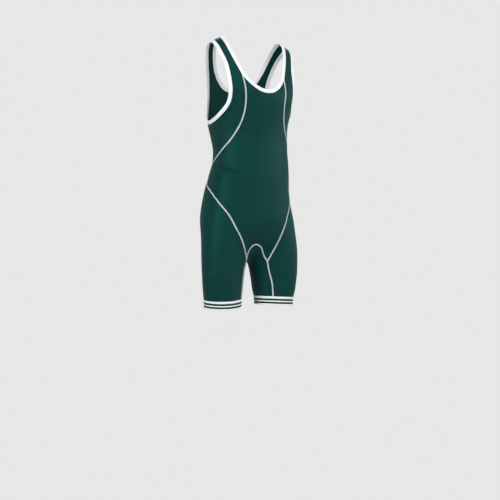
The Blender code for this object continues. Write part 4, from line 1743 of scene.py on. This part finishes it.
@dataclass(frozen=True)
class Knit:
    """Warp-knit stretch cloth: columns of small leaning loops, with a faint sheen.

    The face shows the loops and the back shows them flatter and duller. Heights are the shares of loops and
    fibres in the relief, tones are those of loops, blots and fibres in the colour, and roughnesses are
    what loops and blots add. The loops' tone is painted shade, which makes the colour darker in the valleys
    between the loops; the blots and fibres vary the tone at random.
    """

    name: str
    light: Colour
    dark: Colour
    wale: float = 0.85 * MM
    course: float = 0.70 * MM
    lean: float = 0.9
    relief: float = 0.16 * MM
    roughness: float = 0.48
    ior: float = 1.2
    specular: float = 0.65
    gloss: Colour = (0.15, 1.0, 0.92, 1.0)
    sheen: float = 0.09
    sheen_roughness: float = 0.45
    leg_place: float = 0.25
    tip: float = 1.4
    fibre: float = 0.35 * MM
    blot: float = 0.045
    heights: Row = (0.85, 0.15)
    tone: float = 0.40
    # The loops' share is painted shade in the valleys between loops; the blots' and fibres' shares are random
    # tone
    tones: Row = (0.30, 0.5, 0.2)
    roughnesses: Row = (-0.05, 0.10)
    bump: float = 0.7

    def material(self) -> bpy.types.Material:
        """The finish as a material."""
        graph = Graph(self.name)
        u, v = graph.weave()
        side = abs((u / self.wale).fraction().centred())
        leg = 1.0 - abs(side - self.leg_place) * (1.0 / self.leg_place)
        rise = (v / self.course + side * (2.0 * self.lean)).fraction().centred()
        loop = leg * (1.0 - abs(rise) * self.tip)
        fibre = graph.noise(self.fibre, 1.0)
        blots = graph.noise(self.blot, 3.0)
        # Painted shade: the loop tone darkens the valleys between the loops; blots and fibres are random tone
        tone = Wire.blend((loop, blots.centred(), fibre.centred()), self.tones) + self.tone
        return graph.finished(
            graph.mix(tone.limited(0.0, 1.0), self.dark, self.light),
            Wire.blend((loop, blots.centred()), self.roughnesses) + self.roughness,
            graph.bump(Wire.blend((loop, fibre), self.heights), self.relief, self.bump),
            Sheen_Weight=self.sheen,
            Sheen_Roughness=self.sheen_roughness,
            Sheen_Tint=self.gloss,
            IOR=self.ior,
            Specular_IOR_Level=self.specular,
            Specular_Tint=self.gloss,
        )


@dataclass(frozen=True)
class Elastic:
    """Knitted elastic with fine ribs, in one colour or striped across its width.

    Heights are the shares of ribs, picks and fibres in the relief, and tones are those of ribs, picks,
    fibres and blots in the colour. The rib and pick tones are painted shade, darker in the grooves between
    the ribs and picks; the fibres and blots vary the tone at random.
    """

    name: str
    white: Colour
    # The colour that the grooves take as painted shade, and that random fibres and blots reach
    shade: Colour
    stripe: Colour = BLACK
    stripes: tuple[tuple[float, float], ...] = ()
    # How dark the painted shade in a dark stripe's grooves is, as a share of the stripe's colour
    stripe_shade: float = 0.7
    stripe_wander: float = 0.3 * MM
    rib: float = 1.15 * MM
    pick: float = 0.65 * MM
    pick_slant: float = 0.5
    fibre: float = 0.5 * MM
    blot: float = 0.03
    relief: float = 0.22 * MM
    bump: float = 0.8
    heights: Row = (0.55, 0.25, 0.2)
    # The ribs' and picks' shares are painted shade in the grooves; the fibres' and blots' shares are random
    # tone
    tones: Row = (0.35, 0.2, 0.3, 0.3)
    roughness: float = 0.78
    fibre_roughness: float = 0.12
    sheen: float = 0.05
    sheen_roughness: float = 0.5
    specular: float = 0.2

    def material(self) -> bpy.types.Material:
        """The finish as a material."""
        graph = Graph(self.name)
        u, v = graph.weave()
        rib = (u / self.rib).ridge()
        pick = (v / self.pick + rib * self.pick_slant).ridge()
        fibre = graph.noise(self.fibre)
        height = Wire.blend((rib, pick, fibre), self.heights)
        # Painted shade: the rib and pick tones darken the grooves; fibres and blots are random tone
        tone = Wire.blend((rib, pick, fibre, graph.noise(self.blot)), self.tones).limited(0.0, 1.0)
        colour = graph.mix(tone, self.shade, self.white)
        if self.stripes:
            at = v + pick.centred() * self.stripe_wander
            inside = [(at > low) * (at < high) for low, high in self.stripes]
            # The dark stripes take the same painted shade in their grooves, down to stripe_shade of their
            # colour
            dark = graph.mix(tone, tuple(self.stripe_shade * part for part in self.stripe), self.stripe)
            colour = graph.mix(sum(inside[1:], inside[0]), colour, dark)
        return graph.finished(
            colour,
            self.roughness + fibre.centred() * self.fibre_roughness,
            graph.bump(height, self.relief, self.bump),
            Sheen_Weight=self.sheen,
            Sheen_Roughness=self.sheen_roughness,
            Specular_IOR_Level=self.specular,
        )


@dataclass(frozen=True)
class Thread:
    """Twisted polyester thread, whose tones are the shares of its plies and fibres in the colour."""

    name: str
    light: Colour
    dark: Colour
    twist: float = 0.55 * MM
    girth: float = 1.45 * MM
    fibre: float = 0.4 * MM
    relief: float = 0.06 * MM
    bump: float = 0.8
    # The plies' share is painted shade in the grooves between plies; the fibres' share is random tone
    tones: Row = (0.6, 0.5)
    roughness: float = 0.55
    fibre_roughness: float = 0.15
    sheen: float = 0.1

    def material(self) -> bpy.types.Material:
        """The finish as a material."""
        graph = Graph(self.name)
        u, v = graph.weave()
        ply = ((u / self.twist + v / self.girth) * (2 * math.pi)).sine() * 0.5 + 0.5
        fibre = graph.noise(self.fibre, 1.0)
        # Painted shade: the ply tone darkens the grooves between the plies; fibres are random tone
        tone = Wire.blend((ply, fibre), self.tones).limited(0.0, 1.0)
        return graph.finished(
            graph.mix(tone, self.dark, self.light),
            self.roughness + fibre.centred() * self.fibre_roughness,
            graph.bump(ply, self.relief, self.bump),
            Sheen_Weight=self.sheen,
        )


@dataclass
class Fitting:
    """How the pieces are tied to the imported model."""

    body: str = "root"

    def on(self, piece: bpy.types.Object, node: str | None = None, slot: str | None = None) -> None:
        """Makes a piece ride with the model, in a node's place if one is given.

        Args:
            piece: The piece.
            node: The node that it stands for.
            slot: Not used.
        """
        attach(piece, self.body)
        if node:
            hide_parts(node)


@dataclass(frozen=True)
class Area:
    """One soft light: its name, the way to it from the garment in degrees, and its size and power."""

    name: str
    azimuth: float
    elevation: float
    width: float
    height: float
    power: float
    distance: float = 3.2

    def add(self, target: Vector) -> None:
        """Adds the light.

        Args:
            target: The place at which it is aimed.
        """
        turn, tip = math.radians(self.azimuth), math.radians(self.elevation)
        way = Vector((math.sin(turn) * math.cos(tip), -math.cos(turn) * math.cos(tip), math.sin(tip)))
        data = bpy.data.lights.new(self.name, "AREA")
        data.shape = "RECTANGLE"
        data.size, data.size_y, data.energy = self.width, self.height, self.power
        light = bpy.data.objects.new(self.name, data)
        light.location = target + way * self.distance
        light.rotation_euler = (-way).to_track_quat("-Z", "Y").to_euler()
        bpy.context.scene.collection.objects.link(light)


@dataclass(frozen=True)
class Studio:
    """The camera, the soft lights, the floor and the backdrop."""

    distance: float = 5.0
    azimuth: float = -30.0
    eye_level: float = -0.3705
    lens: float = 100.555
    sensor: float = 36.0
    shift: tuple[float, float] = (-0.0006, -0.214)
    clip_end: float = 200.0
    floor_level: float = -1.55
    dome_radius: float = 40.0
    dome_sides: int = 48
    dome_rises: tuple[float, float, int] = (-12.0, 90.0, 18)
    world: float = 0.36
    backdrop: float = 0.80
    lit: Row = (0.0, 0.0, -0.48)
    lights: tuple[Area, ...] = (
        Area("key", 60.0, 8.0, 1.2, 1.6, 44.0),
        Area("side", -68.0, 12.0, 1.0, 1.8, 62.0),
        Area("front", -20.0, 8.0, 1.2, 1.6, 14.0),
        Area("top", 0.0, 40.0, 1.2, 1.6, 30.0),
        Area("low_fill", 0.0, -25.0, 1.2, 1.6, 14.0),
        Area("back", 150.0, 42.0, 1.2, 1.6, 45.0),
    )

    def camera(self) -> None:
        """Adds the camera at the height of the wearer's chest, looking level."""
        data = bpy.data.cameras.new("camera")
        data.lens, data.sensor_width = self.lens, self.sensor
        data.shift_x, data.shift_y = self.shift
        data.clip_end = self.clip_end
        data.dof.use_dof = False
        camera = bpy.data.objects.new("camera", data)
        turn = math.radians(self.azimuth)
        camera.location = (math.sin(turn) * self.distance, -math.cos(turn) * self.distance, self.eye_level)
        camera.rotation_euler = (math.pi / 2, 0, turn)
        bpy.context.scene.collection.objects.link(camera)
        bpy.context.scene.camera = camera

    def surroundings(self) -> None:
        """Adds the pale floor and the pale dome round it, which are only seen and light nothing."""
        graph = Graph("pale_paint")
        values = {"Color": WHITE, "Strength": self.backdrop}
        pale = graph.ended(graph.node("ShaderNodeEmission", None, values))
        sides, radius = self.dome_sides, self.dome_radius
        turns = np.linspace(0, 2 * math.pi, sides + 1)[:-1]
        rises = np.radians(np.linspace(*self.dome_rises))[:-1]
        ring = np.stack([np.cos(turns), np.sin(turns)], 1)
        dome = [np.column_stack([ring * math.cos(rise), np.full(sides, math.sin(rise))]) for rise in rises]
        floor = np.column_stack([ring * radius, np.full(sides, self.floor_level)])
        numbers = np.arange(sides * len(rises)).reshape(len(rises), sides)
        for name, points, faces in (
            ("backdrop", np.concatenate(dome) * radius, grid_quads(numbers, False, True).tolist()),
            ("floor", floor, [list(range(sides))]),
        ):
            mesh = bpy.data.meshes.new(name)
            mesh.from_pydata(points.tolist(), [], faces)
            mesh.materials.append(pale)
            stage = bpy.data.objects.new(name, mesh)
            stage.visible_diffuse = stage.visible_glossy = False
            stage.visible_transmission = stage.visible_shadow = False
            bpy.context.scene.collection.objects.link(stage)

    def build(self) -> None:
        """Adds everything."""
        scene = bpy.context.scene
        scene.view_settings.view_transform = "Standard"
        self.camera()
        self.surroundings()
        scene.world = bpy.data.worlds.new("studio")
        scene.world.use_nodes = True
        sky = scene.world.node_tree.nodes["Background"].inputs
        sky["Strength"].default_value = self.world
        sky["Color"].default_value = WHITE
        for light in self.lights:
            light.add(Vector(self.lit))


# Each knit's second colour is the painted shade of the valleys between loops, and is reached by random tone
GREEN = Knit("knit_face", (0.0051, 0.0375, 0.0330, 1.0), (0.0033, 0.0243, 0.0214, 1.0))
GREEN_BACK = Knit(
    "knit_back",
    (0.0035, 0.0312, 0.0275, 1.0),
    (0.0023, 0.0210, 0.0185, 1.0),
    lean=0.0,
    relief=0.09 * MM,
    roughness=0.62,
    sheen=0.04,
)
# The second colour is the painted shade of the grooves between ribs and picks, and is reached by random tone
WHITE_ELASTIC = Elastic("white_elastic", (0.82, 0.83, 0.85, 1.0), (0.71, 0.72, 0.745, 1.0))
DARK_STRIPE: Colour = (0.0042, 0.0280, 0.0252, 1.0)
# Each thread's second colour is the painted shade of the grooves between plies, and is reached by random tone
GREY_THREAD = Thread("grey_thread", (0.60, 0.63, 0.66, 1.0), (0.45, 0.48, 0.51, 1.0))
WHITE_THREAD = Thread("white_thread", (0.84, 0.85, 0.86, 1.0), (0.68, 0.70, 0.71, 1.0))


@dataclass
class Body:
    """The four cut panels and the flat seams between them."""

    cloth: Cloth
    filler: Filler
    seams: dict[Side, Seams]
    fitting: Fitting
    back: float = 0.3 * MM
    face: float = 1.5 * MM
    give_across: float = 0.85
    give_along: float = 0.93
    allowance: float = 3.0 * MM
    gusset_lift: float = 0.12 * MM
    sharp: float = math.radians(60.0)
    flatlock: Flatlock = Flatlock()
    armhole_relax: int = 30
    leg_axis_from: float = -0.50
    leg_axis_depth: float = 0.30
    leg_axis_power: float = 1.5
    leg_axis_x: float = 0.103
    leg_axis_y: tuple[float, float] = (0.010, 0.020)
    front_relax: int = 12
    front_axis_y: float = 0.010
    ahead_of_front: float = -0.13
    middle_samples: int = 80
    gusset_relax: int = 60
    gusset_drop: float = 0.065
    gusset_inward: float = 0.03

    def front_half(self, seams: Seams) -> Patch:
        """The front from the middle line to the side seam.

        Args:
            seams: The seam lines of its half.

        Returns:
            The patch.
        """
        figure = self.filler.figure
        rows = UPPER_SEAM_ROWS + LOWER_SEAM_ROWS + 1
        top, bottom = seams.neck_bottom[-1], seams.arch[0]
        shares = np.linspace(0, 1, self.middle_samples)[:, None]
        middle = top * (1 - shares) + bottom * shares
        middle[:, 0] = bottom[0] * shares[:, 0] ** 2
        middle[:, 1] = self.ahead_of_front
        middle = figure.evenly(figure.onto(middle, FAR), np.linspace(0, 1, rows))
        middle[0], middle[-1] = top, bottom
        layout = Layout((np.zeros(rows), np.full(rows, self.front_axis_y)), self.front_relax)
        side = (seams.upper, seams.lower)
        return self.filler.patch((middle,), side, (seams.neck_bottom[::-1],), (seams.arch,), layout)

    def gusset_half(self, seams: Seams) -> Patch:
        """The inner thigh from the middle of the crotch to the hem.

        Args:
            seams: The seam lines of its half.

        Returns:
            The patch.
        """
        figure = self.filler.figure
        top, back = seams.arch[0], seams.back_inseam
        shares = np.linspace(0, 1, len(back))[:, None]
        down, inward = np.array([0.0, 0.0, -self.gusset_drop]), np.array([-self.gusset_inward, 0.0, 0.0])
        across = np.linspace(0, 1, GUSSET_COLUMNS * SAMPLES_A_FACE + 1)
        guess = top + (back[0] - top) * across[:, None]
        guess[:, 2] -= arched(self.gusset_drop, across)
        middle = figure.evenly(figure.onto(guess, FAR), np.linspace(0, 1, GUSSET_COLUMNS + 1))
        middle[0], middle[-1] = top, back[0]
        layout = Layout(None, self.gusset_relax, down * (1 - shares) ** 2 + inward * shares, True)
        hem = (seams.hem_inner[::-1],)
        return self.filler.patch((seams.arch, seams.inseam), (back,), (middle,), hem, layout)

    def strap_side_and_leg(self, seams: Seams) -> Cut:
        """One body panel: a ring round the armhole, then all of its side below the waist.

        Args:
            seams: The seam lines of its half.

        Returns:
            The cut piece.
        """
        edge = (seams.neck_front, seams.upper, seams.waist, seams.back_upper[::-1], seams.neck_back[::-1])
        shoulder = (seams.shoulder[::-1],)
        layout = Layout(relax=self.armhole_relax)
        ring = self.filler.patch(edge, (seams.armhole,), shoulder, shoulder, layout)
        fronts, backs = (seams.lower, seams.inseam), (seams.back_lower, seams.back_inseam)
        heights = (chained(*fronts)[:, 2] + chained(*backs)[:, 2]) / 2
        below_waist = np.clip((self.leg_axis_from - heights) / self.leg_axis_depth, 0, 1)
        axis_x = self.leg_axis_x * below_waist**self.leg_axis_power
        layout = Layout((axis_x, np.linspace(*self.leg_axis_y, len(heights))))
        leg = self.filler.patch(fronts, backs, (seams.waist,), (seams.hem_outer,), layout)
        patches = [ring, leg]
        if seams.side is Side.RIGHT:
            patches = [patch.mirrored() for patch in patches]
        return Cut.of(patches, low=STRAP_FRONT_ROWS + UPPER_SEAM_ROWS)

    def cuts(self) -> dict[str, Cut]:
        """The four cut pieces, by the solid that each stands for."""
        left, right = self.seams[Side.LEFT], self.seams[Side.RIGHT]
        front = self.front_half(left).with_other_half(self.front_half(right), 1)
        gusset = self.gusset_half(left).with_other_half(self.gusset_half(right), 0)
        return {
            "front_panel": Cut.of([front]),
            "left_body_panel": self.strap_side_and_leg(left),
            "right_body_panel": self.strap_side_and_leg(right),
            "gusset": Cut.of([gusset]),
        }

    def panels(self, finishes: Sequence[bpy.types.Material]) -> list[bpy.types.Object]:
        """Args:
            finishes: The finishes of the cloth's face and back.

        Returns:
            The panels.
        """
        made = []
        for node, cut in self.cuts().items():
            solid = cut.shell(self.cloth, self.back, self.face)
            piece = solid.piece(node + "_cloth", finishes, self.sharp)
            self.fitting.on(piece, node, "knit_" + node.split("_")[0])
            across, along = cut.size
            under = self.allowance
            flat = (across * self.give_across + 2 * under, along * self.give_along + 2 * under)
            area = cut.area * self.give_across * self.give_along + cut.edge_length * under
            LOG.info("%s: flat %.3f x %.3f m, cut %.4f m2", node, *flat, area)
            made.append(piece)
        return made

    def seam_lines(self) -> dict[str, Array]:
        """The seam lines between the panels, by name."""
        lines = {}
        for side, seams in self.seams.items():
            lines[f"{side.label}_front_seam"] = side.placed(chained(seams.upper, seams.lower))
            lines[f"{side.label}_shoulder_seam"] = side.placed(seams.shoulder)
        left, right = self.seams[Side.LEFT], self.seams[Side.RIGHT]
        front = [chained(seams.arch, seams.inseam) for seams in (right, left)]
        lines["gusset_front_seam"] = chained(mirrored(front[0])[::-1], front[1])
        lines["gusset_back_seam"] = chained(mirrored(right.back_inseam)[::-1], left.back_inseam)
        lines["centre_back_seam"] = chained(left.back_upper, left.back_lower)
        return lines

    def sewing(self, thread: bpy.types.Material) -> list[bpy.types.Object]:
        """Sews the flat seams.

        Args:
            thread: The finish of the thread.

        Returns:
            The seams' pieces.
        """
        made = []
        for name, line in self.seam_lines().items():
            track = Track(self.cloth, self.filler.figure.onto(refined(line, FINENESS), NEAR))
            lift = self.gusset_lift if name.startswith("gusset") else 0.0
            solid = self.flatlock.sew(track, self.back - lift, self.face + lift)
            piece = solid.piece(name + "_threads", [thread])
            self.fitting.on(piece)
            made.append(piece)
        return made


@dataclass
class Openings:
    """The bindings and hem bands round the five openings, with their stitches."""

    cloth: Cloth
    filler: Filler
    seams: dict[Side, Seams]
    fitting: Fitting
    binding: Binding = Binding()
    band: HemBand = HemBand()
    cover: CoverStitch = CoverStitch()
    give: float = 0.90
    sharp: float = math.radians(50.0)
    above_neck: Row = (0.0, 0.0, -0.05)
    beside_armhole: Row = (0.20, 0.0, -0.16)
    under_leg: Row = (0.104, 0.0, -1.5)

    def neck(self) -> Track:
        """The line round the neck opening, over which its binding is folded."""
        left = self.seams[Side.LEFT]
        half = self.filler.fine_chain((left.neck_bottom[::-1], left.neck_front[::-1], left.neck_back))
        return Track(self.cloth, np.concatenate([half, mirrored(half)[-2:0:-1]]), True, self.above_neck)

    def round_side(self, side: Side, line: Array, towards: Row) -> Track:
        """The track round an opening of one side.

        Args:
            side: The side.
            line: The line round the left one, whose last point is its first one again.
            towards: The place towards which the left one's trim reaches from the line.

        Returns:
            The track.
        """
        return Track(self.cloth, side.placed(line[:-1]), True, tuple(side.placed(np.array(towards))))

    def armhole(self, side: Side) -> Track:
        """The line round one armhole."""
        line = self.filler.fine_chain((self.seams[side].armhole,))
        return self.round_side(side, line, self.beside_armhole)

    def hem(self, side: Side) -> Track:
        """The line round one leg, above its band."""
        line = self.filler.fine_chain((self.seams[side].hem_outer, self.seams[side].hem_inner))
        return self.round_side(side, line * (1.0, 1.0, 0.0) + (0.0, 0.0, HEM_LEVEL), self.under_leg)

    def trim(
        self,
        name: str,
        track: Track,
        kind: Binding | HemBand,
        finish: bpy.types.Material,
        thread: bpy.types.Material,
    ) -> list[bpy.types.Object]:
        """Makes one binding or band, with its stitches, and hides the solid that it stands for.

        Args:
            name: The opening's name.
            track: The line round it.
            kind: What is sewn to it.
            finish: The finish of the elastic.
            thread: The finish of the stitches.

        Returns:
            The elastic and its stitches.
        """
        part, slot = ("band", "hem") if isinstance(kind, HemBand) else ("binding", "binding")
        piece = kind.made(track).piece(name + "_elastic", [finish], self.sharp)
        side = name.split("_")[0]
        self.fitting.on(piece, f"{name}_{part}", f"{slot}_{side}")
        sewn = self.cover.sew(track, *kind.stitched).piece(name + "_cover_stitches", [thread])
        self.fitting.on(sewn)
        flat = (kind.cut_width, track.length * self.give)
        LOG.info("%s: cut %.4f x %.3f m", name, *flat)
        return [piece, sewn]

    def build(
        self, white: bpy.types.Material, striped: bpy.types.Material, thread: bpy.types.Material
    ) -> list[bpy.types.Object]:
        """Makes every trim and its stitches.

        Args:
            white: The finish of the bindings.
            striped: The finish of the hem bands.
            thread: The finish of the stitches.

        Returns:
            The pieces.
        """
        jobs = [("neck", self.neck(), self.binding, white)]
        jobs += [(f"{side.label}_armhole", self.armhole(side), self.binding, white) for side in Side]
        jobs += [(f"{side.label}_hem", self.hem(side), self.band, striped) for side in Side]
        return [piece for job in jobs for piece in self.trim(*job, thread)]


def main() -> None:
    """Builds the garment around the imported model."""
    logging.basicConfig(level=logging.INFO, format="%(name)s: %(message)s", stream=sys.stdout)
    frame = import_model()
    LOG.info("%d solids stand for the cloth", len(frame["nodes"]))
    figure = Figure()
    cloth = Cloth.over(figure)
    filler = Filler(figure)
    seams = {side: Seams(figure, side) for side in Side}
    fitting = Fitting()
    band = HemBand()
    striped = replace(
        WHITE_ELASTIC, name="striped_elastic", stripe=DARK_STRIPE, stripes=band.dark_stripes()
    )
    body = Body(cloth, filler, seams, fitting)
    body.panels([GREEN.material(), GREEN_BACK.material()])
    body.sewing(GREY_THREAD.material())
    openings = Openings(cloth, filler, seams, fitting, band=band)
    openings.build(WHITE_ELASTIC.material(), striped.material(), WHITE_THREAD.material())
    Studio().build()


if __name__ == "__main__":
    main()
